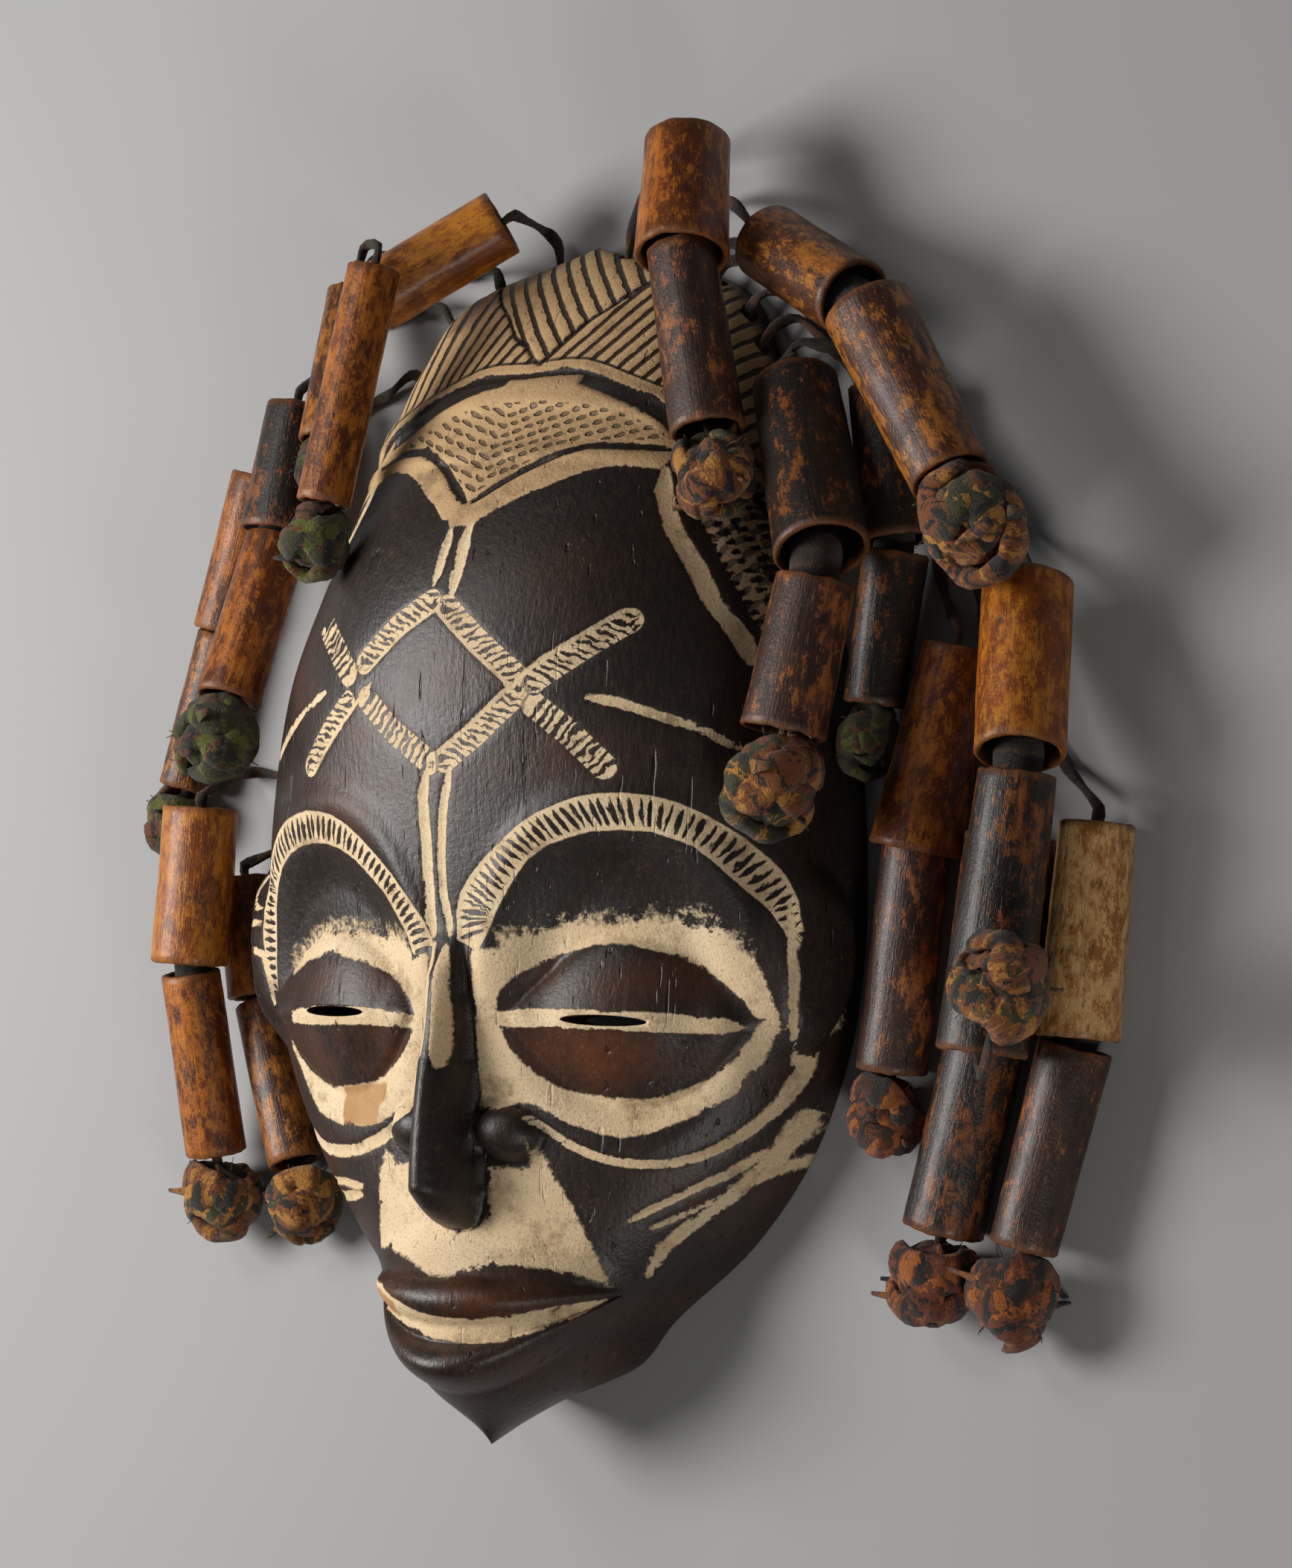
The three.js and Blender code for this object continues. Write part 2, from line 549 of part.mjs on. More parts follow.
// Then each braid is laid down, in the order of the list, on what is already there.
const ties = BRAIDS.map((braid, index) => {
  const { side, wide, narrow } = braid;
  const wideR = wide?.map((share) => share * WIDE_TUBE_R);
  const narrowR = narrow.map((share) => share * NARROW_TUBE_R);
  const restR = [wideR?.[0] ?? narrowR[0], wideR ? Math.max(wideR[1], narrowR[0]) : narrowR[1], narrowR[1]];
  const steps = [braid.top, braid.joint, braid.foot].filter(Boolean);
  const places = steps.map((place, i) => braidPoint(side, place, restR[i]));
  const knotR = braid.knot * KNOT_R;
  const tail = places[places.length - 1].clone().sub(places[places.length - 2]).normalize();
  if (!braid.folded) places[places.length - 1].addScaledVector(tail, knotR + TOUCH_GAP);
  const lastR = [narrowR[0], braid.folded ? narrowR[1] : Math.max(narrowR[1], knotR)];
  const ends = layDown(places, wideR ? [wideR, lastR] : [lastR], braid.name);
  const last = ends.pop();
  const top = ends[0];
  const along = last.clone().sub(ends[ends.length - 1]).normalize();
  const foot = last.clone().addScaledVector(along, braid.folded ? 0 : -(knotR + TOUCH_GAP));
  const over = OPEN_SIDE.clone().projectOnPlane(along).normalize();
  const knot = braid.folded
    ? foot.clone().addScaledVector(along, -FOLD_BACK).addScaledVector(over, narrowR[1] + knotR + TOUCH_GAP)
    : last;
  ends.push(foot);
  if (wideR) {
    const joint = ends[1];
    const bend = joint.clone().sub(top).angleTo(foot.clone().sub(joint));
    const narrowInside = narrowR[0] < wideR[1];
    const slip = narrowInside
      ? slipDepth(wideR[1] - TUBE_WALL, narrowR[0], bend)
      : slipDepth(narrowR[0] - TUBE_WALL, wideR[1], bend);
    const moved = narrowInside ? joint.clone().sub(foot).normalize() : joint.clone().sub(top).normalize();
    const lift = wideR[1] + narrowR[0] + 4 * TOUCH_GAP;
    const slipped = braid.lifted
      ? joint.clone().addScaledVector(over, lift)
      : joint.clone().addScaledVector(moved, slip);
    if (braid.lifted) {
      const out = joint.clone().sub(top).normalize();
      const lower = foot.clone().sub(slipped).normalize();
      const beyond = joint.clone().addScaledVector(out, MOUTH_TURN);
      const beside = over.clone().projectOnPlane(out).normalize();
      const round = beyond.clone().addScaledVector(beside, wideR[1] + 1.7 * STRIP_R);
      const above = slipped.clone().addScaledVector(lower, -LIFT_TURN);
      const level = lower.dot(above.clone().sub(round));
      ends.splice(2, 0, beyond, round, round.clone().addScaledVector(lower, level), above, slipped);
    }
    const upper = tubeGeometry(top, narrowInside ? joint : slipped, ...wideR);
    addNode(`${braid.name}_wide_tube`, upper, caneColour[index % 4]);
    const lower = tubeGeometry(narrowInside ? slipped : joint, foot, ...narrowR);
    addNode(`${braid.name}_narrow_tube`, lower, caneColour[(index + 1) % 4]);
    rods.push({ from: top, to: joint, radius: Math.max(...wideR) });
    rods.push({ from: joint, to: foot, radius: Math.max(...narrowR) });
  } else {
    addNode(`${braid.name}_narrow_tube`, tubeGeometry(top, foot, ...narrowR), caneColour[index % 4]);
    rods.push({ from: top, to: foot, radius: Math.max(...narrowR) });
  }
  rods.push({ from: knot, to: knot, radius: knotR });
  if (braid.folded) {
    ends.push(foot.clone().addScaledVector(along, MOUTH_TURN));
    ends.push(ends[ends.length - 1].clone().addScaledVector(over, narrowR[1] + 2 * STRIP_R));
  }
  const upward = top.clone().sub(ends[1]).normalize();
  return { braid, ends, knot, knotR, mouth: top.clone().addScaledVector(upward, MOUTH_TURN) };
});

// The ties: from a stop knot inside the rim, through its hole, over the ground and down the tubes.
ties.forEach(({ braid, ends, knot, knotR, mouth }, index) => {
  const { at, outward, out, run } = ways[index];
  const stopR = 1.3 * LACING_HOLE_R;
  const inward = RIM_WALL + stopR + STOP_SLACK + (index % 2) * STOP_STAGGER;
  const stop = at.clone().addScaledVector(outward, -inward);
  const strip = stripGeometry(stop, [out, ...run, mouth, ends[0]], [...ends.slice(1), knot]);
  const stopKnot = new THREE.SphereGeometry(stopR, 5, 4).translate(stop.x, stop.y, stop.z);
  const tie = strip.add(solidFrom(knotGeometry(knot, knotR, index))).add(solidFrom(stopKnot));
  addNode(`${braid.name}_tie`, geometryFrom(tie), clothColour);
});

// The wood: outside less inside, eye slits and lacing holes.
function eyeSlit(side) {
  const { lid } = FACE;
  const [halfLength, halfHeight] = [EYE_SLIT_LENGTH / 2, EYE_SLIT_HEIGHT / 2];
  const outline = new THREE.Shape().absellipse(0, 0, halfLength, halfHeight, 0, 2 * Math.PI);
  const through = { depth: 2 * MASK_DEPTH, bevelEnabled: false, curveSegments: 6 };
  const cut = new THREE.ExtrudeGeometry(outline, through);
  return solidFrom(cut.translate(side * (lid.across - 0.03) * HALF_WIDTH, yAt(lid.along), 1));
}

let wood = domeSolid(ROWS, COLUMNS, (t, angle) => carve(formPoint(t, angle)));
wood = wood.subtract(domeSolid(INNER_ROWS, INNER_COLUMNS, hollowPoint));
for (const side of [-1, 1]) wood = wood.subtract(eyeSlit(side));
for (const { at, outward } of ways) {
  const from = at.clone().addScaledVector(outward, -3 * RIM_WALL);
  const drill = new THREE.CylinderGeometry(LACING_HOLE_R, LACING_HOLE_R, 5 * RIM_WALL, 6);
  const hole = drill.translate(0, 2.5 * RIM_WALL, 0);
  wood = wood.subtract(solidFrom(aimed(hole, from, at)));
}
addNode("mask", geometryFrom(wood), woodColour);

// The origin is the middle of the whole thing's underside.
root.updateMatrixWorld(true);
const box = new THREE.Box3().setFromObject(root);
const middle = box.getCenter(new THREE.Vector3());
root.position.set(-middle.x, -middle.y, -box.min.z);

export default root;
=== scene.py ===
import logging
import math
from dataclasses import dataclass, field
from enum import Enum
from typing import Callable, Sequence

import bmesh
import bpy
import numpy as np
from mathutils import Matrix, Quaternion, Vector, noise


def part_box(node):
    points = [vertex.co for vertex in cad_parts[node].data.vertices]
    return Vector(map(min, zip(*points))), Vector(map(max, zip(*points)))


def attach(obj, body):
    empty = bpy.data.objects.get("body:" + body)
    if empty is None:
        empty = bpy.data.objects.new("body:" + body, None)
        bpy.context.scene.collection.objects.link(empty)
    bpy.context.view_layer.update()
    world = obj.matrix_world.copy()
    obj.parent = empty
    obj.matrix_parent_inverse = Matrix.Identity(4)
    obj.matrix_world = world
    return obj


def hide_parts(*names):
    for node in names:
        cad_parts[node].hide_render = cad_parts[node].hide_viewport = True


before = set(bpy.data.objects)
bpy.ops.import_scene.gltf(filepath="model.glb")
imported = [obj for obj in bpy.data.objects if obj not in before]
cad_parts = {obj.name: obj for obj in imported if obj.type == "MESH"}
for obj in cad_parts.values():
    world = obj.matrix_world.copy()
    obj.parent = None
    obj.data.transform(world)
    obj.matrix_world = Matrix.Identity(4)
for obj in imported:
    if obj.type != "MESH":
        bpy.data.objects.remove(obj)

LOG = logging.getLogger("mask")
MM = 0.001
STEP = 0.0022
HOLE_RADIUS = 2.4
STRAND_MARKS = ("strand", "strand_u", "strand_dark")
STOP_RADIUS = 1.3 * HOLE_RADIUS
EYE_ACROSS, EYE_ALONG = 0.512, -0.191
SENSOR = 36.0
Point = tuple[float, float]
Triple = tuple[float, float, float]
Surface = tuple[np.ndarray, np.ndarray, np.ndarray]


class Slot(Enum):
    """The record's material slots."""

    WOOD = "carved_wood"
    BAMBOO = "bamboo"
    CLOTH = "cloth"


class Value:
    """A number in a node tree, written as a Python expression."""

    def __init__(self, nodes: "Nodes", socket: bpy.types.NodeSocket) -> None:
        """Wraps one output socket of a tree."""
        self.nodes = nodes
        self.socket = socket

    def _math(self, operation: str, *others: "Value | float", clamp: bool = False) -> "Value":
        """Adds one Math node.

        Args:
            operation: The Math node's operation.
            others: The further inputs.
            clamp: Whether the result is held between 0 and 1.

        Returns:
            The node's result.
        """
        return self.nodes.math(operation, self, *others, clamp=clamp)

    def __add__(self, other: "Value | float") -> "Value":
        """Sum."""
        return self._math("ADD", other)

    __radd__ = __add__

    def __sub__(self, other: "Value | float") -> "Value":
        """Difference."""
        return self._math("SUBTRACT", other)

    def __rsub__(self, other: "Value | float") -> "Value":
        """Difference from a plain number."""
        return self.nodes.math("SUBTRACT", other, self)

    def __mul__(self, other: "Value | float") -> "Value":
        """Product."""
        return self._math("MULTIPLY", other)

    __rmul__ = __mul__

    def __truediv__(self, other: "Value | float") -> "Value":
        """Quotient."""
        return self._math("DIVIDE", other)

    def fract(self) -> "Value":
        """The part behind the decimal point."""
        return self._math("FRACT")

    def abs(self) -> "Value":
        """The size without its sign."""
        return self._math("ABSOLUTE")

    def sqrt(self) -> "Value":
        """The square root."""
        return self._math("SQRT")

    def clamp(self) -> "Value":
        """The value held between 0 and 1."""
        return self._math("ADD", 0.0, clamp=True)

    def max(self, other: "Value | float") -> "Value":
        """The larger of two."""
        return self._math("MAXIMUM", other)

    def step(self, low: float, high: float) -> "Value":
        """A smooth step from 0 at low to 1 at high."""
        return self.nodes.add(
            "ShaderNodeMapRange",
            {"interpolation_type": "SMOOTHSTEP"},
            {"Value": self, "From Min": low, "From Max": high},
        )


class Nodes:
    """The node tree of one material, built by expressions."""

    def __init__(self, name: str) -> None:
        """Makes an empty material."""
        self.material = bpy.data.materials.new(name)
        self.material.use_nodes = True
        self.tree = self.material.node_tree
        self.tree.nodes.clear()
        self.output = self.tree.nodes.new("ShaderNodeOutputMaterial")

    def add(
        self, kind: str, settings: dict | None = None, inputs: dict | None = None, out: int | str = 0
    ) -> Value:
        """Adds one node.

        Args:
            kind: The node's type.
            settings: Its properties.
            inputs: The values or links of its sockets, by name or number.
            out: Which output is wanted.

        Returns:
            The wanted output.
        """
        node = self.tree.nodes.new(kind)
        for key, value in (settings or {}).items():
            setattr(node, key, value)
        for key, value in (inputs or {}).items():
            self.join(value, node.inputs[key])
        return Value(self, node.outputs[out])

    def join(self, value: "Value | float | Sequence[float]", socket: bpy.types.NodeSocket) -> None:
        """Links or sets one input socket."""
        if isinstance(value, Value):
            self.tree.links.new(value.socket, socket)
        elif isinstance(value, tuple) and len(value) == 3 and socket.type == "RGBA":
            socket.default_value = (*value, 1.0)
        else:
            socket.default_value = value

    def math(self, operation: str, *values: "Value | float", clamp: bool = False) -> Value:
        """Adds one Math node from its operation and inputs."""
        settings = {"operation": operation, "use_clamp": clamp}
        return self.add("ShaderNodeMath", settings, dict(enumerate(values)))

    def attribute(self, name: str) -> Value:
        """A number stored on the mesh."""
        return self.add("ShaderNodeAttribute", {"attribute_name": name}, out="Fac")

    def place(self) -> Value:
        """Object coordinates, in metres."""
        return self.add("ShaderNodeTexCoord", out="Object")

    def stretched(self, scale: Triple, turn: Triple = (0, 0, 0)) -> Value:
        """Object coordinates turned, then scaled along each axis."""
        return self.add(
            "ShaderNodeMapping", {}, {"Vector": self.place(), "Rotation": turn, "Scale": scale}
        )

    def noise(
        self, scale: float, detail: float = 3.0, rough: float = 0.55, where: "Value | None" = None
    ) -> Value:
        """Noise from 0 to 1, with scale in waves for each metre."""
        return self.add(
            "ShaderNodeTexNoise",
            {},
            {"Vector": where or self.place(), "Scale": scale, "Detail": detail, "Roughness": rough},
        )

    def cells(self, scale: float, where: "Value | None" = None) -> Value:
        """Distance to the nearest of some scattered points."""
        return self.add("ShaderNodeTexVoronoi", {}, {"Vector": where or self.place(), "Scale": scale})

    def mix(self, factor: "Value | float", first: "Value | tuple", second: "Value | tuple") -> Value:
        """A mix of two colours."""
        return self.add(
            "ShaderNodeMix", {"data_type": "RGBA"}, {0: factor, 6: first, 7: second}, out=2
        )

    def finish(
        self, colour: Value, rough: "Value | float", height: Value | None, depth: float = MM, **fixed: float
    ) -> bpy.types.Material:
        """Closes the tree with one surface.

        Args:
            colour: The base colour.
            rough: The roughness.
            height: The bump's height, from 0 to 1.
            depth: How far one unit of height stands up, in metres.
            fixed: Further sockets of the surface, with _ for a blank.

        Returns:
            The finished material.
        """
        inputs = {"Base Color": colour, "Roughness": rough}
        if height is not None:
            inputs["Normal"] = self.add(
                "ShaderNodeBump", {}, {"Strength": 1.0, "Distance": depth, "Height": height}
            )
        inputs.update({key.replace("_", " "): value for key, value in fixed.items()})
        surface = self.add("ShaderNodeBsdfPrincipled", {}, inputs)
        self.tree.links.new(surface.socket, self.output.inputs[0])
        return self.material


def smooth(low: float, high: float, x: np.ndarray) -> np.ndarray:
    """A smooth step from 0 at low to 1 at high."""
    t = np.clip((x - low) / (high - low), 0, 1)
    return t * t * (3 - 2 * t)


@dataclass(frozen=True)
class MaskForm:
    """The mask's outside, in millimetres, with its rim at height 0.

    Sections run from chin to crown: place along the rim, half width, place along
    the ridge, depth and fullness, as shares of the mask's size.
    """

    half_width: float = 82.0
    height: float = 298.0
    depth: float = 65.0
    ear_proud: float = 6.0
    rim_wall: float = 8.0
    front_wall: float = 11.0
    chin: float = -0.537
    sections: tuple[tuple[float, ...], ...] = (
        (-0.503, 0, -0.537, 0.45, 1),
        (-0.473, 0.27, -0.503, 0.58, 0.95),
        (-0.43, 0.41, -0.446, 0.66, 1),
        (-0.369, 0.66, -0.372, 0.69, 0.95),
        (-0.295, 0.85, -0.295, 0.72, 0.85),
        (-0.208, 0.963, -0.208, 0.785, 0.75),
        (-0.121, 1, -0.121, 0.86, 0.7),
        (-0.027, 0.988, -0.027, 0.94, 0.72),
        (0.074, 0.939, 0.074, 1, 0.8),
        (0.154, 0.854, 0.148, 0.985, 0.9),
        (0.228, 0.77, 0.215, 0.877, 0.95),
        (0.302, 0.707, 0.289, 0.677, 0.95),
        (0.369, 0.62, 0.359, 0.48, 0.9),
        (0.426, 0.47, 0.42, 0.28, 0.85),
        (0.463, 0, 0.463, 0.1, 0.8),
    )

    def section(self, t: np.ndarray) -> np.ndarray:
        """The section at a share t of the way from chin to crown."""
        rows = np.array(self.sections)
        last = len(rows) - 1
        place = np.clip(t, 0, 1) * last
        i = np.minimum(np.floor(place).astype(int), last - 1)
        f = (place - i)[..., None]
        a, b, c, d = (rows[np.clip(i + k, 0, last)] for k in (-1, 0, 1, 2))
        square, cube = 2 * a - 5 * b + 4 * c - d, 3 * b - a - 3 * c + d
        return 0.5 * (2 * b + (c - a) * f + square * f**2 + cube * f**3)

    def plain(self, t: np.ndarray, angle: np.ndarray) -> Surface:
        """The dome before carving, at a row t and an angle from -90 to 90 degrees."""
        s = self.section(t)
        rise = np.maximum(np.cos(angle), 0) ** s[..., 4]
        rise = np.where(np.abs(angle) > math.pi / 2 - 1e-6, 0, rise)
        x = self.half_width * np.maximum(s[..., 1], 0) * np.sin(angle)
        y = self.height * (s[..., 0] + (s[..., 2] - s[..., 0]) * rise)
        return x, y, self.depth * s[..., 3] * rise

    def socket(self, x: np.ndarray, y: np.ndarray) -> np.ndarray:
        """How far the eye sockets and lids stand up, as a share of the depth."""
        ax, ay = np.abs(x) / self.half_width, y / self.height
        r = np.hypot((ax - 0.5) / 0.402, (ay + 0.164) / 0.144)
        bowl = -0.092 * (1 - smooth(0.5, 0.92, r))
        along = (ay - EYE_ALONG) / 0.067
        almond = np.clip(1 - ((ax - EYE_ACROSS) / 0.341) ** 2 - np.abs(along), 0, 1)
        ring = 0.02 * np.exp(-(((r - 1) * 0.144 / 0.014) ** 2)) * smooth(-0.2, 0.25, along)
        return bowl + 0.138 * almond**0.6 + ring

    def nose(self, x: np.ndarray, y: np.ndarray) -> np.ndarray:
        """How far the nose stands up."""
        ax, ay = x / self.half_width, y / self.height
        down = np.clip((-0.112 - ay) / 0.25, 0, 1)
        rounded = np.sqrt(np.clip((ay + 0.362) / 0.03, 0, 1))
        half = (0.046 + 0.044 * down) * (0.45 + 0.55 * rounded)
        proud = (0.09 + 0.195 * smooth(0, 0.85, down)) * rounded * smooth(-0.115, -0.165, ay)
        ridge = proud * np.sqrt(np.clip(1 - ((ax + 0.018) / half) ** 2, 0, 1))
        wing = np.hypot((np.abs(ax) - 0.159) / 0.104, (ay + 0.2835) / 0.022)
        return np.maximum(ridge, 0.1 * np.sqrt(np.clip(1 - wing**2, 0, 1)))

    def mouth(self, x: np.ndarray, y: np.ndarray) -> np.ndarray:
        """How far the muzzle and the lips stand up."""
        ax, ay = x / self.half_width, y / self.height
        mound = np.hypot(ax / 0.512, (ay + 0.44) / 0.074)
        taper = np.clip(1 - (ax / 0.44) ** 2, 0, 1)
        parting = -0.446 + 0.04 * np.minimum((ax / 0.44) ** 2, 1)

        def lip(start: np.ndarray, thickness: float) -> np.ndarray:
            """One lip's round, from its edge."""
            share = np.clip(start / np.maximum(thickness * taper, 1e-4), 0, 1)
            return np.sqrt(taper) * np.sin(math.pi * share) ** 0.7

        gap = 0.0074 * taper
        lips = 0.069 * lip(ay - parting - gap, 0.0386) + 0.092 * lip(parting - gap - ay, 0.0403)
        return 0.138 * (1 - smooth(0.45, 1.15, mound)) + lips

    def bands(self, x: np.ndarray, y: np.ndarray) -> np.ndarray:
        """How far the headband and the hairline's band stand up."""
        along, bow = y / self.height, (x / self.half_width) ** 2
        head = 0.03 * np.exp(-(((along - 0.322 + 0.075 * bow) / 0.0135) ** 4))
        return head + 0.016 * np.exp(-(((along - 0.268 + 0.02 * bow) / 0.007) ** 4))

    def carved(self, t: np.ndarray, angle: np.ndarray) -> Surface:
        """The carved outside at a row t and an angle."""
        x, y, z = self.plain(t, angle)
        rise = self.socket(x, y) + self.nose(x, y) + self.mouth(x, y) + self.bands(x, y)
        z = z + self.depth * rise * smooth(0, 0.18 * self.depth, z)
        from_ear = np.hypot((y / self.height + 0.141) / 0.087, (z / self.depth - 0.338) / 0.23)
        proud = np.sign(x) * self.ear_proud * (1 - smooth(0.55, 1, from_ear))
        return x + np.where(np.abs(x) > self.half_width * 0.6, proud, 0), y, z

    def hollow(self, t: np.ndarray, angle: np.ndarray) -> Surface:
        """The inside, open at the rim."""
        inward = 0.06 + (0.955 - 0.06) * t
        x, y, z = self.carved(inward, angle)
        s = self.section(inward)
        deep = self.depth * s[..., 3]
        wide = self.half_width * np.maximum(s[..., 1], 1e-6)
        share = np.clip(z / deep, 0, 1) ** 1.15
        top = np.maximum(deep - self.front_wall, 2)
        return x * np.maximum(wide - self.rim_wall, 0) / wide, y, -2 + (top + 2) * share

    def rim_half_width(self, y: float) -> float:
        """Half the rim's width at a place along the mask."""
        t = np.linspace(0, 1, 1200)
        x, along, _ = self.carved(t, np.full_like(t, math.pi / 2))
        return float(x[np.argmin(np.abs(along - y))])

    def lacing(self, side: int, distance: float) -> tuple[Vector, Vector]:
        """A lacing hole's mouth and its outward direction, by its way round the rim from the crown."""
        t = np.linspace(0, 1, 241)
        x, y, _ = self.carved(t, np.full_like(t, math.pi / 2))
        gone, i = 0.0, len(t) - 1
        while i > 1 and gone < distance:
            gone += math.hypot(x[i] - x[i - 1], y[i] - y[i - 1])
            i -= 1
        along = Vector((x[i + 1] - x[i - 1], y[i + 1] - y[i - 1], 0)).normalized()
        radial = Vector((x[i], y[i], 0)).normalized()
        outward = Vector((side * (along.y + 2 * radial.x), -along.x + 2 * radial.y, 0)).normalized()
        return Vector((side * x[i], y[i], 6.0)), outward


@dataclass
class Line:
    """A drawn line in the face's plane, in millimetres."""

    points: tuple[Point, ...]
    width: float = 3.0

    def mirrored(self) -> "Line":
        """The same line on the other side of the face."""
        return Line(tuple((-x, y) for x, y in self.points), self.width)

    def measure(self, x: np.ndarray, y: np.ndarray) -> Surface:
        """Distance from the line, place along it, and signed distance across it.

        Args:
            x: Places across the face.
            y: Places along the face.

        Returns:
            Three arrays, in millimetres.
        """
        far = np.full(x.shape, 1e9)
        along = np.zeros(x.shape)
        side = np.zeros(x.shape)
        gone = 0.0
        for (ax, ay), (bx, by) in zip(self.points, self.points[1:]):
            dx, dy = bx - ax, by - ay
            length = math.hypot(dx, dy)
            share = np.clip(((x - ax) * dx + (y - ay) * dy) / length**2, 0, 1)
            off = np.hypot(x - ax - share * dx, y - ay - share * dy)
            across = (dx * (y - ay) - dy * (x - ax)) / length
            near = off < far
            far = np.where(near, off, far)
            along = np.where(near, gone + share * length, along)
            side = np.where(near, np.sign(across) * off, side)
            gone += length
        return far, along, side

    def stroke(self, x: np.ndarray, y: np.ndarray) -> np.ndarray:
        """How deep a place lies inside the stroke, its ends tapering."""
        far, along, _ = self.measure(x, y)
        total = sum(math.dist(a, b) for a, b in zip(self.points, self.points[1:]))
        end = np.clip(np.minimum(along, total - along) / 4, 0, 1)
        return self.width / 2 * (0.55 + 0.45 * end) - far

    def area(self, x: np.ndarray, y: np.ndarray) -> np.ndarray:
        """How deep a place lies inside the closed outline; below 0 outside."""
        closed = Line(self.points + self.points[:1])
        far, _, _ = closed.measure(x, y)
        inside = np.zeros(x.shape, bool)
        for (ax, ay), (bx, by) in zip(closed.points, closed.points[1:]):
            if ay == by:
                continue
            crosses = (ay > y) != (by > y)
            inside ^= crosses & (x < (bx - ax) * (y - ay) / (by - ay) + ax)
        return np.where(inside, far, -far)


@dataclass(frozen=True)
class Band:
    """A band of cut ticks between two edges, or a bar of one width."""

    outer: tuple[Point, ...]
    inner: tuple[Point, ...] = ()
    width: float = 6.2
    edge: int = 0
    ring: bool = False

    def measure(self, x: np.ndarray, y: np.ndarray) -> Surface:
        """How deep a place lies in the band, its share across, and its place along."""
        far, along, side = Line(self.outer).measure(x, y)
        if not self.ring:
            half = self.width / 2
            return half - far, self.edge * side / half, along
        other, _, _ = Line(self.inner).measure(x, y)
        depth = Line(self.outer + self.inner[::-1]).area(x, y)
        return depth, (other - far) / np.maximum(other + far, 1e-6), along


RIGHT_RING = Band(
    ring=True,
    outer=(
        (1.8, -39), (1.5, -33), (3, -28), (6, -24), (10, -20), (15, -16), (20, -12), (25, -9), (30, -7),
        (35, -5), (40, -4), (46, -3.6), (52, -4), (57, -5.2), (62, -7.5), (66, -10), (70, -13),
        (74, -17.5), (77, -22), (80, -27), (82, -34),
    ),
    inner=(
        (8, -42), (11, -37), (14, -31), (18, -25), (22, -20), (27, -16.5), (32, -14.5), (38, -12.8),
        (45, -12.3), (52, -12.5), (57, -14), (61, -15.5), (65, -19), (69, -23.5), (72, -27), (75, -30),
        (78, -34), (81, -40),
    ),
)
LEFT_RING = Band(
    ring=True,
    outer=(
        (-4.5, -41), (-8, -34), (-12, -29), (-17, -23.5), (-22, -19), (-27, -15), (-32, -11.5), (-37, -9.3),
        (-42, -8.3), (-47, -8), (-52, -8.8), (-57, -10), (-62, -12.5), (-66, -15.5), (-70, -19),
        (-73.5, -24), (-74.5, -30), (-74, -38), (-73, -45), (-71, -52),
    ),
    inner=(
        (-12, -43), (-14, -38), (-18, -33), (-22, -28), (-27, -24), (-32, -20), (-37, -17.3), (-42, -16),
        (-47, -15.8), (-52, -16.5), (-57, -18.5), (-61, -21.5), (-64, -26), (-66, -31), (-67.5, -38),
        (-68.5, -45), (-69, -52),
    ),
)
BARS = (
    Band(((-4.5, 41.5), (-14, 36), (-25, 27.5)), edge=1),
    Band(((-31, 25), (-37, 31.5), (-43.5, 37.5)), width=6.5, edge=0),
    Band(((-24, 18.5), (-15, 10.5), (-4, 3)), edge=0),
    Band(((-31, 18), (-38, 12), (-46, 3)), edge=1, width=5.5),
    Band(((0.5, 40), (10, 31.5), (20, 23.5)), edge=-1),
    Band(((24, 22), (34, 29), (44.5, 37)), width=6.5, edge=1),
    Band(((0.5, 3.5), (10, 10), (21, 19.5)), edge=1),
    Band(((25, 16.5), (33, 10.5), (41.5, 2.5)), edge=0),
)
TEMPLE = Line(((43, 75), (44, 70), (46, 65), (48.3, 60), (51.8, 55), (55, 50), (58, 44), (61.5, 39),
    (65, 34), (67.3, 29)), 3.2)
PANEL = Line(((49, 75), (52, 62), (56, 55), (61, 46), (66, 37), (72, 30), (76, 45), (66, 70), (58, 80),
    (51, 80)))
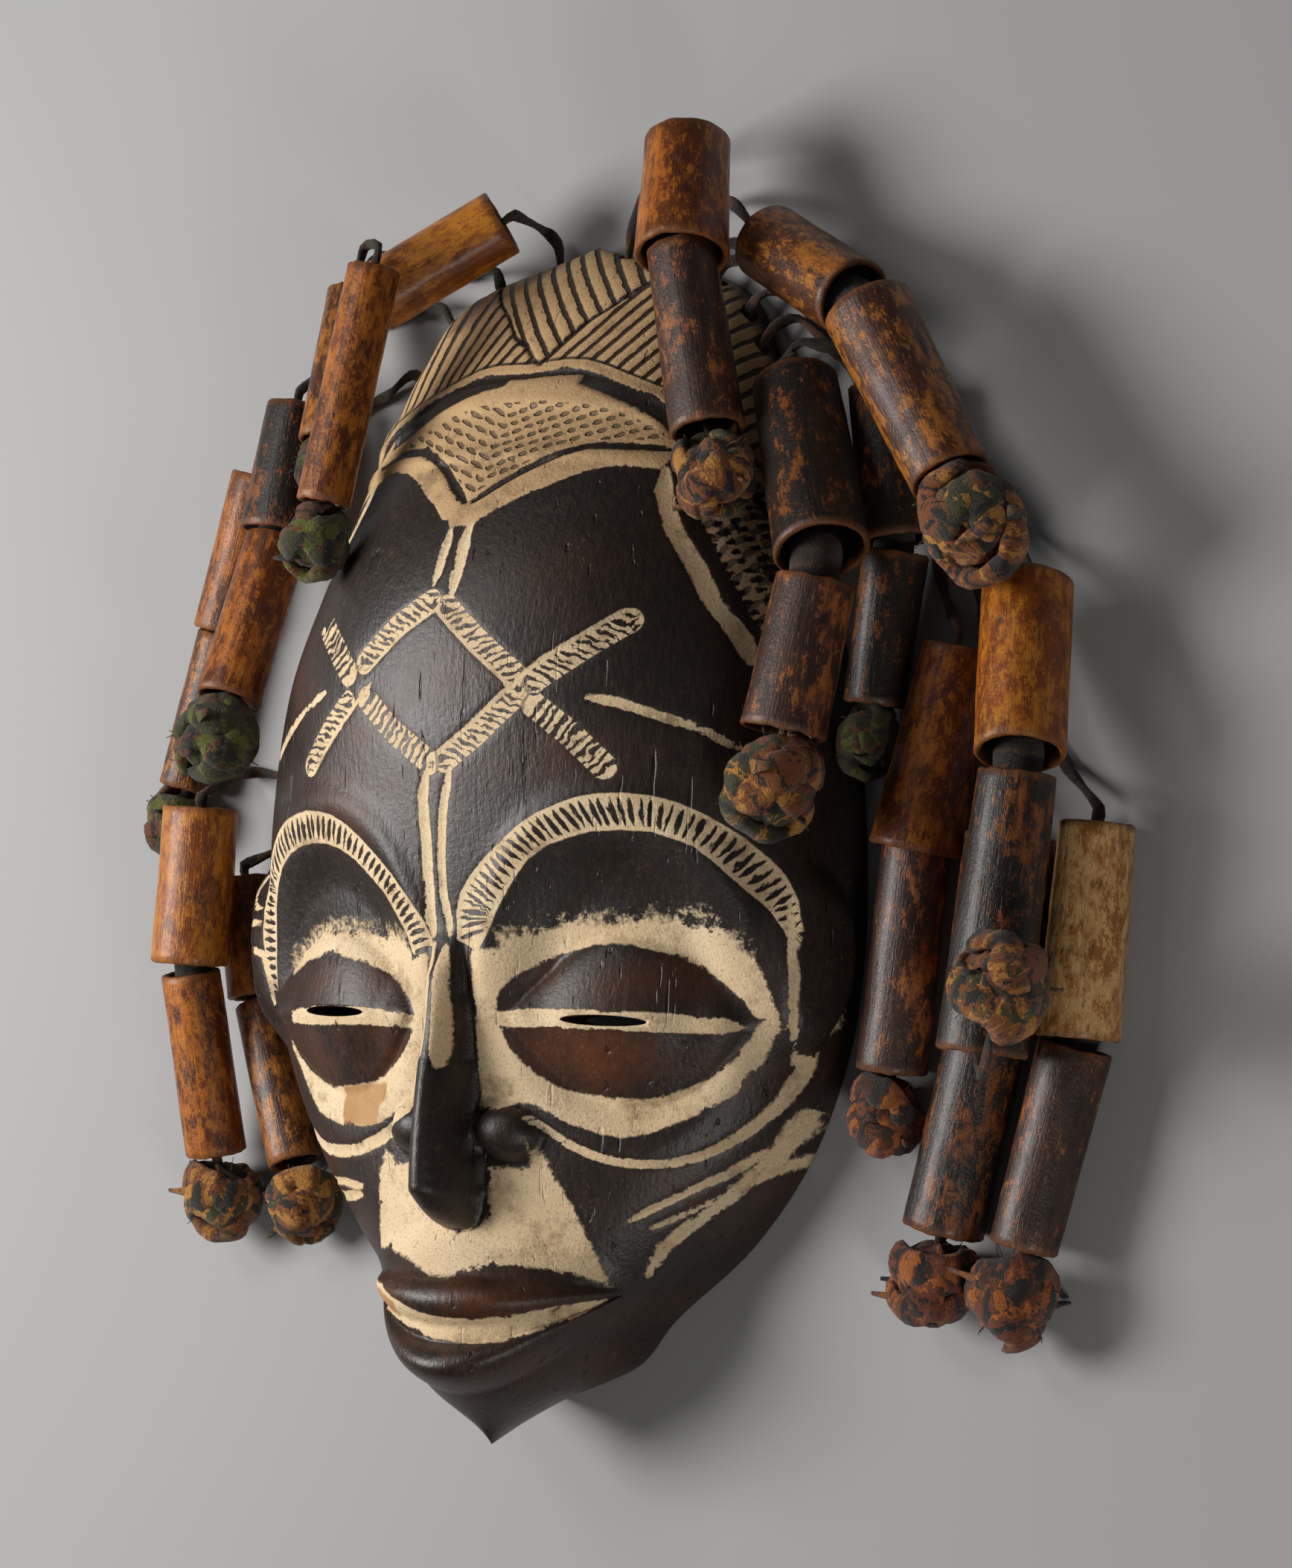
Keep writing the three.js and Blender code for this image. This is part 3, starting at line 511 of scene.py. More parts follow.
STROKES = (
    Line(((-3.8, 60), (-3.4, 55), (-3.8, 50), (-4.8, 45.5)), 3.0),
    Line(((1.8, 60), (1.8, 50), (1.2, 43.5)), 3.6),
    Line(((-22, 22.7), (-35, 11), (-47, 0)), 1.1),
    Line(((17, 20), (30, 30), (44.3, 39.8)), 1.1),
    Line(((0, 5.5), (10, 13.6), (22, 22.6)), 1.0),
    Line(((37.5, 18.7), (44, 17.6), (50, 15.8), (60, 12.5), (68, 8)), 2.4),
    Line(((-40.5, 20.8), (-50, 17), (-60, 11), (-68, 6), (-73, 12), (-76, 25)), 2.3),
    Line(((-5, 0), (-6.5, -5), (-6, -15), (-6, -33), (-5, -38)), 3.2),
    Line(((2, 2), (-0.6, -9), (-1.8, -20), (-1.8, -28), (0, -38)), 2.4),
    Line(((40, -104), (44, -101.5), (50, -98), (55, -95), (60, -92), (65, -88), (69, -85)), 1.7),
    Line(((44, -105.5), (52, -101), (60, -96), (67, -90.5), (72, -85.5)), 1.3),
    Line(((40, -117), (44, -111), (48, -107), (52, -103.5), (57, -99), (62, -94), (67, -88.5),
        (71, -82), (74, -76)), 2.2),
    Line(
        ((19, -80.5), (24, -84), (28, -86.3), (33, -88.5), (38, -89.8), (44, -90.4), (50, -90), (55, -88.5),
         (60, -85.8), (64.5, -82.5), (68, -79), (72, -74), (75, -68), (77.5, -61)), 2.1,
    ),
    Line(
        ((-13, -80), (-18, -82), (-23, -85.5), (-28, -88), (-34, -90), (-40, -91), (-46, -91.3), (-52, -91),
         (-57, -89.5), (-61, -87.5), (-67, -84)), 3.2,
    ),
    Line(((-62, -102), (-56, -102.4), (-47, -102.6), (-37, -101.6)), 2.6),
    Line(((-62, -99.6), (-55, -99), (-46, -98.8), (-36, -99.4)), 2.0),
    Line(((-80.5, -5), (-79, -12), (-76, -20)), 2.2),
    Line(((-76, -23), (-79, -24), (-82, -27), (-80, -31), (-76, -31)), 1.8),
    Line(((-75, -35), (-84, -35)), 1.8),
    Line(((-82, -41), (-74, -43), (-72, -50), (-71, -56)), 2.0),
    Line(((78.5, -28), (79.8, -36), (80.3, -45), (79.4, -54), (77.5, -61)), 1.8),
)
BRIDGE = (Line(((-4.4, -40), (-4.0, -55), (-3.6, -67)), 3.0), Line(((-0.4, -41), (0.6, -55),
    (1.4, -69)), 3.4))
CUT_LINES = STROKES + BRIDGE + (TEMPLE, TEMPLE.mirrored())
SOLE_BRIDGE = Line(((-2.4, -40), (-1.8, -55), (-1.2, -68)), 1.0)
CREAM = (
    (
        Line(
            ((-7, -42), (-7, -55), (-8, -68), (-9, -78), (-12, -79), (-20, -80), (-25, -83),
             (-30, -84.5), (-42, -85), (-48, -84), (-53, -82), (-57, -78), (-61, -72), (-65, -66), (-66, -62),
             (-63, -67), (-58, -71.5), (-52, -74.5), (-45, -75.3), (-38, -74.8), (-32, -73.8), (-27, -72),
             (-22, -69), (-18, -66), (-14, -61), (-14, -56), (-17, -51), (-14, -44))
        ),
        0.5,
    ),
    (
        Line(
            ((-60, -57), (-46, -55.6), (-25, -55.8), (-12, -57), (-13, -60.5), (-30, -60), (-50, -60.5),
            (-60, -60))
        ),
        0.35,
    ),
    (
        Line(
            ((5.3, -41), (12, -41), (12.5, -50), (11.5, -55), (11.5, -59), (15, -65), (20, -70), (25, -73),
             (30, -74.3), (40, -75), (45, -75), (50, -74), (55, -72), (60, -69.5), (65, -65), (69, -60),
             (71, -57), (76, -53), (77, -57), (74, -60), (71, -65), (68, -69), (65, -73), (60, -76.5),
             (55, -79),
             (50, -81.5), (45, -83.5), (40, -84.3), (35, -83.5), (30, -82), (25, -80), (20, -77.5), (16, -77),
             (12, -79), (5.3, -79))
        ),
        0.5,
    ),
    (
        Line(((10, -56), (20, -54.6), (35, -54.4), (55, -54.6), (66, -55.2), (70, -57), (66, -59),
            (40, -59.2), (12, -59.2))),
        0.35,
    ),
    (
        Line(
            ((6.5, -92.5), (7, -104), (4, -107.5), (-1, -109), (-6, -107.5), (-9, -104), (-9, -93),
            (-20, -93),
             (-25, -90), (-28, -95), (-29, -105), (-31, -114.3), (-25, -114), (-15, -115.5), (-10, -117),
             (-5, -118.8), (0, -119.3), (4, -118.7), (8, -117), (12, -116), (17, -115.7), (22, -116),
             (27, -116.8), (32, -118.5), (34, -120), (32, -111), (30, -105), (27, -99), (24, -93), (20, -85),
             (18, -92.5))
        ),
        0.8,
    ),
    (
        Line(
            ((-33, -121.5), (-20, -122), (-13, -125), (-5, -127.8), (2, -128.7), (9, -128.7), (16, -127.5),
             (22, -126), (27, -124.5), (33, -122.8), (29, -126.8), (25, -129.5), (20, -132), (15, -133.7),
             (8, -134.7), (0, -134.5), (-5, -134), (-15, -131), (-25, -128.5))
        ),
        0.4,
    ),
)
FUZZY = (
    (
        Line(
            ((12, -42), (15, -37), (20, -35), (25, -34), (40, -32.5), (48, -31.5), (62, -31), (66, -33),
            (70, -38),
             (74, -44), (77, -55), (71.5, -55), (69, -51), (65, -47.5), (60, -44), (55, -41.5), (50, -40),
             (45, -38.8), (40, -38.6), (35, -39.3), (30, -40.5), (25, -42), (20, -44.5), (16, -47), (12, -51))
        ),
        Line(((14, -36), (20, -34), (40, -31.5), (62, -30), (70, -37))),
    ),
    (
        Line(
            ((-12, -42), (-15, -38.5), (-22, -37), (-30, -36), (-38, -35.5), (-46, -36), (-54, -38),
            (-60, -42),
             (-63, -46), (-62, -48), (-58, -46.5), (-52, -44.5), (-46, -43.5), (-40, -43.3), (-35, -44),
             (-30, -45), (-25, -46.5), (-20, -49.5), (-14, -55))
        ),
        Line(((-14, -36.5), (-30, -35), (-46, -35), (-62, -42))),
    ),
)
CROWN = Line(
    ((0, 60.3), (3, 61), (8, 64), (13, 67.5), (18, 70), (23, 72.5), (28, 74.8), (33, 75.8), (42, 75.5),
    (45, 80),
     (52, 80), (60, 72), (70, 60), (80, 90), (60, 150), (-60, 150), (-80, 90), (-62, 56), (-56, 62),
     (-48, 71),
     (-38, 76), (-32, 76.8), (-27, 76), (-22, 73.5), (-17, 70), (-12, 66.5), (-8, 63), (-4, 60.5))
)
BARE = (
    Line(((-43, -75), (-25, -73.6), (-24.5, -78), (-27, -79), (-28, -84.5), (-42, -85), (-43.5, -80))),
    Line(((-30, -123), (-20, -123), (-13, -126), (-15, -130), (-24, -128))),
)
FAN_BASE = Line(
    ((-62, 60), (-57, 70), (-51, 79), (-46, 84.5), (-40, 88.5), (-35, 90.5), (-30, 93.5), (-25, 96),
    (-20, 98),
     (-15, 100), (-10, 100.7), (0, 100.3), (10, 101.3), (15, 101), (20, 99.5), (25, 97.5), (30, 95.5),
     (35, 93.5),
     (40, 90.5), (46, 85.5), (52, 79), (57, 72), (63, 62))
)
FAN_SEAMS = (
    Line(((1.8, 103.5), (-5, 109.5), (-9, 111.5), (-15, 118), (-20, 122), (-27, 129), (-33, 138))),
    Line(((2.4, 103.5), (7, 111), (10, 115), (15, 119), (22, 127), (30, 138))),
)
DARK = (
    Line(
        ((-42, 84), (-36, 86), (-28, 89.5), (-22, 92.5), (-16, 95), (-10, 97), (-4, 97.8), (-4, 100.3),
        (-10, 100.7),
         (-15, 100), (-20, 98), (-25, 96), (-30, 93.5), (-35, 90.5), (-40, 88.5))
    ),
    Line(((17, 97.5), (22, 95.5), (28, 93), (33, 91), (38, 88), (42, 84), (44, 87), (40, 90.5),
        (35, 93.5), (30, 95.5), (25, 97.5), (20, 99.5), (16, 100.5))),
)
HAIRLINE = (
    Line(((0, 66.5), (5, 70.5), (10, 74), (15, 77), (20, 79.2), (25, 80.8), (34, 81), (44, 80.6)), 1.8),
    Line(((-2, 66.5), (-8, 71.5), (-13, 75.8), (-18, 79.2), (-24, 81.6), (-32, 82), (-42, 79)), 2.2),
)
PITTED = Line(
    ((-1, 68.5), (5, 72.5), (10, 76), (15, 79), (20, 81), (25, 82.5), (34, 83), (42, 82.5), (40, 85),
    (33, 88.5),
     (27, 90.5), (20, 92), (10, 93), (0, 93), (-10, 92.5), (-20, 90), (-30, 86), (-36, 83.5),
     (-24, 83.5), (-18, 81),
     (-13, 77.5), (-8, 73.5))
)


class FaceDrawing:
    """What is cut and painted on the mask's outside, as numbers at each place."""

    strand = 3.7
    fan_centre: Point = (-38.7, 51.7)
    wear_spots: tuple[tuple[float, ...], ...] = (
        (40, -66, 28, 9, 0.9), (40, -47, 26, 6, 0.6), (-38, -66, 24, 8, 1.0), (-38, -50, 22, 5, 0.5),
        (2, -124, 34, 6, 0.8), (4, -140, 28, 7, 0.8), (4, 25, 20, 16, 0.35), (30, 45, 25, 12, 0.25),
        (-20, 10, 20, 12, 0.5), (-25, -5, 22, 10, 0.55), (30, 5, 30, 8, 0.3), (-60, 20, 20, 25, 0.3),
        (-45, -100, 22, 12, 0.5), (55, -95, 24, 14, 0.35), (-4, -75, 6, 16, 0.15),
    )

    def painted(self, x: np.ndarray, y: np.ndarray) -> np.ndarray:
        """Pigment cover: above 0 inside, in widths of its soft edge."""
        cover = np.full(x.shape, -9.0)
        for line in CUT_LINES:
            cover = np.maximum(cover, line.stroke(x, y) / 0.32)
        for line, soft in CREAM:
            cover = np.maximum(cover, line.area(x, y) / soft)
        for line, edge in FUZZY:
            near = edge.measure(x, y)[0]
            cover = np.maximum(cover, line.area(x, y) / (0.5 + 4.6 * np.exp(-((near / 3.5) ** 2))))
        cover = np.maximum(cover, CROWN.area(x, y) / 0.4)
        for panel, side in ((PANEL, 1), (PANEL.mirrored(), -1)):
            across, along = x * 0.85 * side + y * 0.52, y * 0.85 - x * 0.52 * side
            cell = [np.abs(v / 2.6 - np.round(v / 2.6)) * 2.6 for v in (across, along)]
            lattice = 0.62 - np.minimum(*cell)
            cover = np.maximum(cover, np.minimum(panel.area(x, y) - 0.6, lattice) / 0.3)
        return np.minimum(cover, -self.darkened(x, y) / 0.3)

    def darkened(self, x: np.ndarray, y: np.ndarray) -> np.ndarray:
        """How deep a place lies in a dark line or patch of the crown."""
        dark = np.maximum.reduce([line.area(x, y) for line in DARK])
        for line in HAIRLINE:
            dark = np.maximum(dark, line.stroke(x, y))
        dark = np.maximum(dark, 0.8 - FAN_BASE.measure(x, y)[0])
        dark = np.maximum(dark, SOLE_BRIDGE.stroke(x, y))
        for seam in FAN_SEAMS:
            dark = np.maximum(dark, 0.45 - seam.measure(x, y)[0])
        return dark

    def fans(self, x: np.ndarray, y: np.ndarray) -> tuple[np.ndarray, np.ndarray]:
        """How deep a place lies in the combed fans, and which strand it lies on."""
        depth = Line(FAN_BASE.points + ((85, 150), (-85, 150))).area(x, y) - 3.6
        left_of, right_of = (seam.measure(x, y)[2] for seam in FAN_SEAMS)
        cx, cy = self.fan_centre
        swept = 60 * np.arctan2(x - cx, y - cy) / self.strand
        swept = np.where(swept < 3, 3 + (swept - 3) * 0.62, swept)
        middle = (1.1 * x + y) / 1.487 / self.strand
        right = (0.83 * x - 0.56 * y) / self.strand
        phase = np.where(left_of > 0, swept, np.where(right_of < 0, right, middle))
        return depth, phase

    def pits(self, x: np.ndarray, y: np.ndarray) -> Surface:
        """How deep a place lies in a pitted panel, and its two places in the rows of pits."""
        hair = PITTED.area(x, y)
        panel = np.maximum(PANEL.area(x, y), PANEL.mirrored().area(x, y))
        ax = np.abs(x)
        first = np.where(hair > panel, (0.8 * x + 0.62 * y) / 2.9, (0.9 * ax + 0.5 * y) / 3.0)
        second = np.where(hair > panel, (0.95 * y - 0.35 * ax) / 2.7, (0.9 * ax - 0.45 * y) / 3.1)
        return np.maximum(hair, panel), first, second

    def fields(self, x: np.ndarray, y: np.ndarray) -> dict[str, np.ndarray]:
        """Every number that the paint reads.

        Args:
            x: Places across the face, in millimetres.
            y: Places along the face.

        Returns:
            The numbers by name, one for each place.
        """
        found = {"paint": self.painted(x, y)}
        inside = np.full(x.shape, -99.0)
        across, along = np.zeros(x.shape), np.zeros(x.shape)
        sort = np.zeros(x.shape)
        for band in BARS + (RIGHT_RING, LEFT_RING):
            depth, v, u = band.measure(x, y)
            near = depth > inside
            inside, across, along = (
                np.where(near, a, b) for a, b in ((depth, inside), (v, across), (u, along))
            )
            sort = np.where(near, float(band.ring), sort)
        found.update(band=inside, band_v=across, band_u=along, band_ring=sort)
        found["fan"], found["fan_u"] = self.fans(x, y)
        found["pit"], found["pit_a"], found["pit_b"] = self.pits(x, y)
        found["bare"] = np.maximum.reduce([line.area(x, y) for line in BARE])
        found["crown"] = smooth(-1.0, 1.0, CROWN.area(x, y))
        wear = np.zeros(x.shape)
        for cx, cy, rx, ry, much in self.wear_spots:
            r = ((x - cx) / rx) ** 2 + ((y - cy) / ry) ** 2
            wear = np.maximum(wear, much * np.exp(-r))
        found["wear"] = wear
        stroke = np.full(x.shape, -9.0)
        for line in CUT_LINES:
            stroke = np.maximum(stroke, line.stroke(x, y))
        found["stroke"] = stroke
        found["dark"] = self.darkened(x, y)
        return found

    def relief(self, found: dict[str, np.ndarray]) -> np.ndarray:
        """How far the cutting stands out from the form, in millimetres."""
        cut = -0.45 * smooth(-0.4, 0.9, found["stroke"])
        cut -= 0.3 * smooth(-0.3, 0.8, found["band"])
        cut -= 0.8 * smooth(-0.5, 0.8, found["dark"])
        lay = np.abs(found["fan_u"] - np.floor(found["fan_u"]) - 0.5) * 2
        cut += 0.5 * smooth(-0.5, 0.8, found["fan"]) * (np.sqrt(1 - 0.9 * lay**2) - 0.7)
        return cut


def patch(bm: bmesh.types.BMesh, places: np.ndarray) -> list[bmesh.types.BMVert]:
    """Adds a grid whose corners are moved to the places given.

    Args:
        bm: The mesh it is added to.
        places: Rows by columns by three, in metres.

    Returns:
        The new vertices.
    """
    rows, columns = places.shape[:2]
    made = bmesh.ops.create_grid(bm, x_segments=columns - 1, y_segments=rows - 1, size=1.0)["verts"]
    for vert in made:
        i = round((vert.co.y + 1) / 2 * (rows - 1))
        j = round((vert.co.x + 1) / 2 * (columns - 1))
        vert.co = places[i, j]
    return made


def closed(bm: bmesh.types.BMesh, reach: float = 1e-6) -> None:
    """Merges what meets, caps what is open and turns the faces out."""
    bmesh.ops.remove_doubles(bm, verts=bm.verts[:], dist=reach)
    bmesh.ops.dissolve_degenerate(bm, edges=bm.edges[:], dist=reach)
    open_edges = [edge for edge in bm.edges if edge.is_boundary]
    if open_edges:
        bmesh.ops.holes_fill(bm, edges=open_edges, sides=0)
    bmesh.ops.recalc_face_normals(bm, faces=bm.faces[:])


def piece(name: str, bm: bmesh.types.BMesh, *materials: bpy.types.Material) -> bpy.types.Object:
    """Makes an object of a finished mesh and frees the mesh it was built in."""
    mesh = bpy.data.meshes.new(name)
    bm.to_mesh(mesh)
    bm.free()
    for material in materials:
        mesh.materials.append(material)
    made = bpy.data.objects.new(name, mesh)
    bpy.context.scene.collection.objects.link(made)
    return made


def store(mesh: bpy.types.Mesh, name: str, values: np.ndarray) -> None:
    """Keeps one number, or one vector, for each vertex."""
    if values.ndim == 1:
        mesh.attributes.new(name, "FLOAT", "POINT").data.foreach_set("value", values.astype(np.float32))
    else:
        kept = mesh.attributes.new(name, "FLOAT_VECTOR", "POINT")
        kept.data.foreach_set("vector", values.astype(np.float32).ravel())


def corners(mesh: bpy.types.Mesh) -> np.ndarray:
    """The vertices' places, one row each."""
    co = np.zeros(len(mesh.vertices) * 3, np.float32)
    mesh.vertices.foreach_get("co", co)
    return co.reshape(-1, 3).astype(float)


def sweep(
    bm: bmesh.types.BMesh,
    points: Sequence[Vector],
    radius: Callable[[float], tuple[float, float]],
    sides: int = 8,
    twist: float = 0.0,
    ring: bool = False,
    middle: Vector | None = None,
    strand: float = 0.0,
    dark: float = 0.0,
) -> list[bmesh.types.BMVert]:
    """Adds a strand of oval section along some points.

    Args:
        bm: The mesh it is added to.
        points: The strand's middle line, in metres.
        radius: The two half widths at a share of the way along.
        sides: How many faces go round it.
        twist: How far it turns along its length, in radians.
        ring: Whether its end meets its start.
        middle: A point that the strand's flat side faces, if it is wound round one.
        strand: A number that tells the strand from its neighbours.
        dark: How much painted shade darkens the strand, from 0 to 1.

    Returns:
        The new vertices.
    """
    count = len(points)
    normal = Vector((0.13, 0.21, 0.97))
    rows = []
    for i, point in enumerate(points):
        before = points[(i - 1) % count] if ring else points[max(i - 1, 0)]
        after = points[(i + 1) % count] if ring else points[min(i + 1, count - 1)]
        along = (after - before).normalized()
        if middle is not None:
            normal = point - middle
        normal = (normal - along * normal.dot(along)).normalized()
        side = along.cross(normal)
        share = i / (count - 1)
        wide, thick = radius(share)
        c, s = math.cos(twist * share), math.sin(twist * share)
        row = []
        for k in range(sides + 1):
            a = 2 * math.pi * (k % sides) / sides
            u, v = wide * math.cos(a), thick * math.sin(a)
            row.append(point + side * (u * c - v * s) + normal * (u * s + v * c))
        rows.append(row)
    if ring:
        rows.append(rows[0])
    made = patch(bm, np.array(rows))
    step = (points[1] - points[0]).length / MM
    names, along, shaded = (mark(bm, name) for name in STRAND_MARKS)
    for k, vert in enumerate(made):
        vert[names] = strand
        vert[along] = step * (k // (sides + 1))
        # How much painted shade darkens this strand.
        vert[shaded] = dark
    return made


def mark(bm: bmesh.types.BMesh, name: str) -> bmesh.types.BMLayerItem:
    """The named number that each vertex keeps."""
    return bm.verts.layers.float[name]


def cloth_mesh() -> bmesh.types.BMesh:
    """An empty mesh whose vertices keep the numbers of their strand."""
    bm = bmesh.new()
    for name in STRAND_MARKS:
        bm.verts.layers.float.new(name)
    return bm


def smooth_path(points: Sequence[Vector], step: float) -> list[Vector]:
    """A rounded path through the points, a step apart."""
    found: list[Vector] = []
    for i in range(len(points) - 1):
        p0, p1, p2, p3 = (points[min(max(i + k, 0), len(points) - 1)] for k in (-1, 0, 1, 2))
        pieces = max(2, round((p2 - p1).length / step))
        first, last = (p2 - p0) * 0.35, (p3 - p1) * 0.35
        reach = (p2 - p1).length
        first = first.normalized() * min(first.length, reach * 0.8) if first.length else first
        last = last.normalized() * min(last.length, reach * 0.8) if last.length else last
        for k in range(pieces):
            f = k / pieces
            a, b = 2 * f**3 - 3 * f**2 + 1, f**3 - 2 * f**2 + f
            c, d = -2 * f**3 + 3 * f**2, f**3 - f**2
            found.append(p1 * a + first * b + p2 * c + last * d)
    found.append(points[-1].copy())
    return found


@dataclass(frozen=True)
class PaintedWood:
    """Dark patinated wood with white clay rubbed into its cuts."""

    ground: Triple = (0.016, 0.0115, 0.0090)
    brown: Triple = (0.050, 0.028, 0.017)
    red: Triple = (0.125, 0.036, 0.010)
    clay: Triple = (0.66, 0.475, 0.265)
    pale_clay: Triple = (0.80, 0.64, 0.42)
    tan_clay: Triple = (0.47, 0.27, 0.105)
    dirty_clay: Triple = (0.22, 0.135, 0.065)
    bare_wood: Triple = (0.42, 0.21, 0.065)

    def cover(self, n: Nodes, speck: Value, ragged: Value) -> Value:
        """How much clay shows at a place, from 0 to 1."""
        rubbed = n.noise(75, 5, 0.78).step(0.50, 0.68) * 1.9
        plain = (
            n.attribute("paint") + (speck - 0.5) * (3.0 + rubbed * 1.6) + (ragged - 0.5) * 1.0 - rubbed
        ).step(-0.6, 0.6)
        band, v, u = n.attribute("band"), n.attribute("band_v"), n.attribute("band_u")
        ring = n.attribute("band_ring")
        inside = (band / 0.3 + (speck - 0.5) * 1.8).step(-0.5, 0.6)
        where = n.add("ShaderNodeCombineXYZ", {}, {0: u * 0.62 + v * 1.1, 1: v * 0.75, 2: ring * 7.0})
        chip = n.noise(1.0, 3, 0.6, where)
        place = ((u + v * 0.9 + (chip - 0.5) * 2.2) / 2.35).fract()
        gap = ((place - 0.5) * 2).abs()
        leaf = (1 - v * v * 1.2).max(0.0)
        tick = (gap - leaf * (0.16 + chip * 0.85) + 0.03).step(-0.1, 0.1)
        ring_edge = (v.abs() - 0.76 + (chip - 0.5) * 0.2).step(-0.06, 0.06)
        bar_place = ((u + v * 2.0 + (ragged - 0.5) * 3.2) / 2.1).fract()
        comb = ((bar_place - 0.5) * 2).abs()
        bar_edge = (v - 0.66 + (chip - 0.5) * 0.25).step(-0.06, 0.06)
        bar_tick = (comb * 0.5 + chip * 1.25 + v.abs() * 0.12 - 0.86).step(-0.05, 0.05)
        pattern = ring * tick.max(ring_edge) + (1 - ring) * bar_tick.max(bar_edge)
        return plain.max(inside * pattern) * n.attribute("front")

    def dressed(self, name: str) -> bpy.types.Material:
        """Makes the material."""
        n = Nodes(name)
        fine = n.noise(1500, 3, 0.6)
        speck = n.noise(700, 4, 0.65)
        ragged = n.noise(330, 2, 0.5)
        blotch = n.noise(38, 4, 0.6)
        grain = n.noise(1.0, 3, 0.6, n.stretched((900, 170, 900), (0, 0, 0.04)))
        crack = n.noise(1.0, 2, 0.5, n.stretched((420, 26, 420), (0, 0, 0.05)))
        cover = self.cover(n, speck, ragged)
        fan, fan_u = n.attribute("fan"), n.attribute("fan_u")
        in_fan = fan.step(-0.3, 0.4)
        lay = ((fan_u + (ragged - 0.5) * 0.16 + (blotch - 0.5) * 0.3).fract() - 0.5).abs() * 2
        groove = in_fan * (lay + (speck - 0.5) * 0.35 + (ragged - 0.5) * 0.2).step(0.60, 0.80)
        border = in_fan * (1 - fan.step(0.3, 0.9))
        pit_in = n.attribute("pit").step(-0.2, 0.5)
        a = ((n.attribute("pit_a") + (ragged - 0.5) * 0.45).fract() - 0.5).abs() * 2
        b = ((n.attribute("pit_b") + (ragged - 0.5) * 0.35).fract() - 0.5).abs() * 2
        oval = (a * a * 0.9 + b * b * 2.6 + (speck - 0.5) * 0.7).max(0.0).sqrt()
        pit = pit_in * (1 - oval.step(0.52, 0.85))
        front = n.attribute("front")
        hollow = (groove + border * 0.8 + pit).clamp() * front
        shown = (groove * 0.95 + border * 0.75 + pit * 0.66).clamp() * front
        cover = cover * (1 - shown)
        rubbed = n.attribute("wear")
        wear = (rubbed * 1.0 * blotch.step(0.25, 0.75) + (grain - 0.5) * 0.5 * rubbed).clamp()
        dust = (grain * 0.6 + fine * 0.6).step(0.52, 0.85)
        ground = n.mix(dust * 0.6, self.ground, self.brown)
        ground = n.mix(wear, ground, self.red)
        scuff = (n.noise(140, 5, 0.75)).step(0.60, 0.74) * 0.4
        ground = n.mix(scuff, ground, (0.120, 0.050, 0.020))
        chalk = (n.noise(900, 3, 0.7) * blotch).step(0.36, 0.46) * 0.35 * front
        ground = n.mix(chalk, ground, (0.22, 0.16, 0.10))
        split = crack.step(0.66, 0.72)
        ground = n.mix(split * 0.6, ground, (0.006, 0.004, 0.003))
        tone = (blotch * 0.7 + fine * 0.5).step(0.35, 0.85)
        clay = n.mix(tone, self.clay, self.pale_clay)
        clay = n.mix(n.attribute("crown") * (0.45 + blotch * 0.5).clamp(), clay, self.tan_clay)
        stain = (n.noise(85, 5, 0.7)).step(0.50, 0.70) * 0.7 + (1 - fine.step(0.28, 0.44)) * 0.5
        clay = n.mix(stain.clamp(), clay, self.dirty_clay)
        bare = (n.attribute("bare") / 0.8 + (speck - 0.5) * 2).step(-0.5, 0.8)
        bare = bare * front * (0.55 + blotch * 0.6).clamp()
        clay = n.mix(bare, clay, self.bare_wood)
        colour = n.mix(cover, ground, clay)
        rough = cover * 0.34 + (0.33 + grain * 0.16 + (blotch - 0.5) * 0.25 + scuff * 0.2)
        height = grain * 0.12 * (1 - cover) + fine * 0.16 * cover + speck * 0.14
        height = height - hollow * 0.9 + cover * 0.08 - split * 0.25
        return n.finish(colour, rough, height, 0.0012, Specular_IOR_Level=0.42)


@dataclass(frozen=True)
class RawWood:
    """The adzed, unpainted inside of the mask."""

    dark: Triple = (0.085, 0.045, 0.024)
    light: Triple = (0.30, 0.17, 0.085)

    def dressed(self, name: str) -> bpy.types.Material:
        """Makes the material."""
        n = Nodes(name)
        grain = n.noise(1.0, 4, 0.6, n.stretched((420, 40, 420)))
        blotch = n.noise(22, 4, 0.6)
        chips = n.cells(1.0, n.stretched((95, 55, 95)))
        colour = n.mix((grain * 0.7 + blotch * 0.5 - 0.1).clamp(), self.dark, self.light)
        height = chips * 0.8 + grain * 0.25
        return n.finish(colour, 0.62 + grain * 0.2, height, 0.0014)


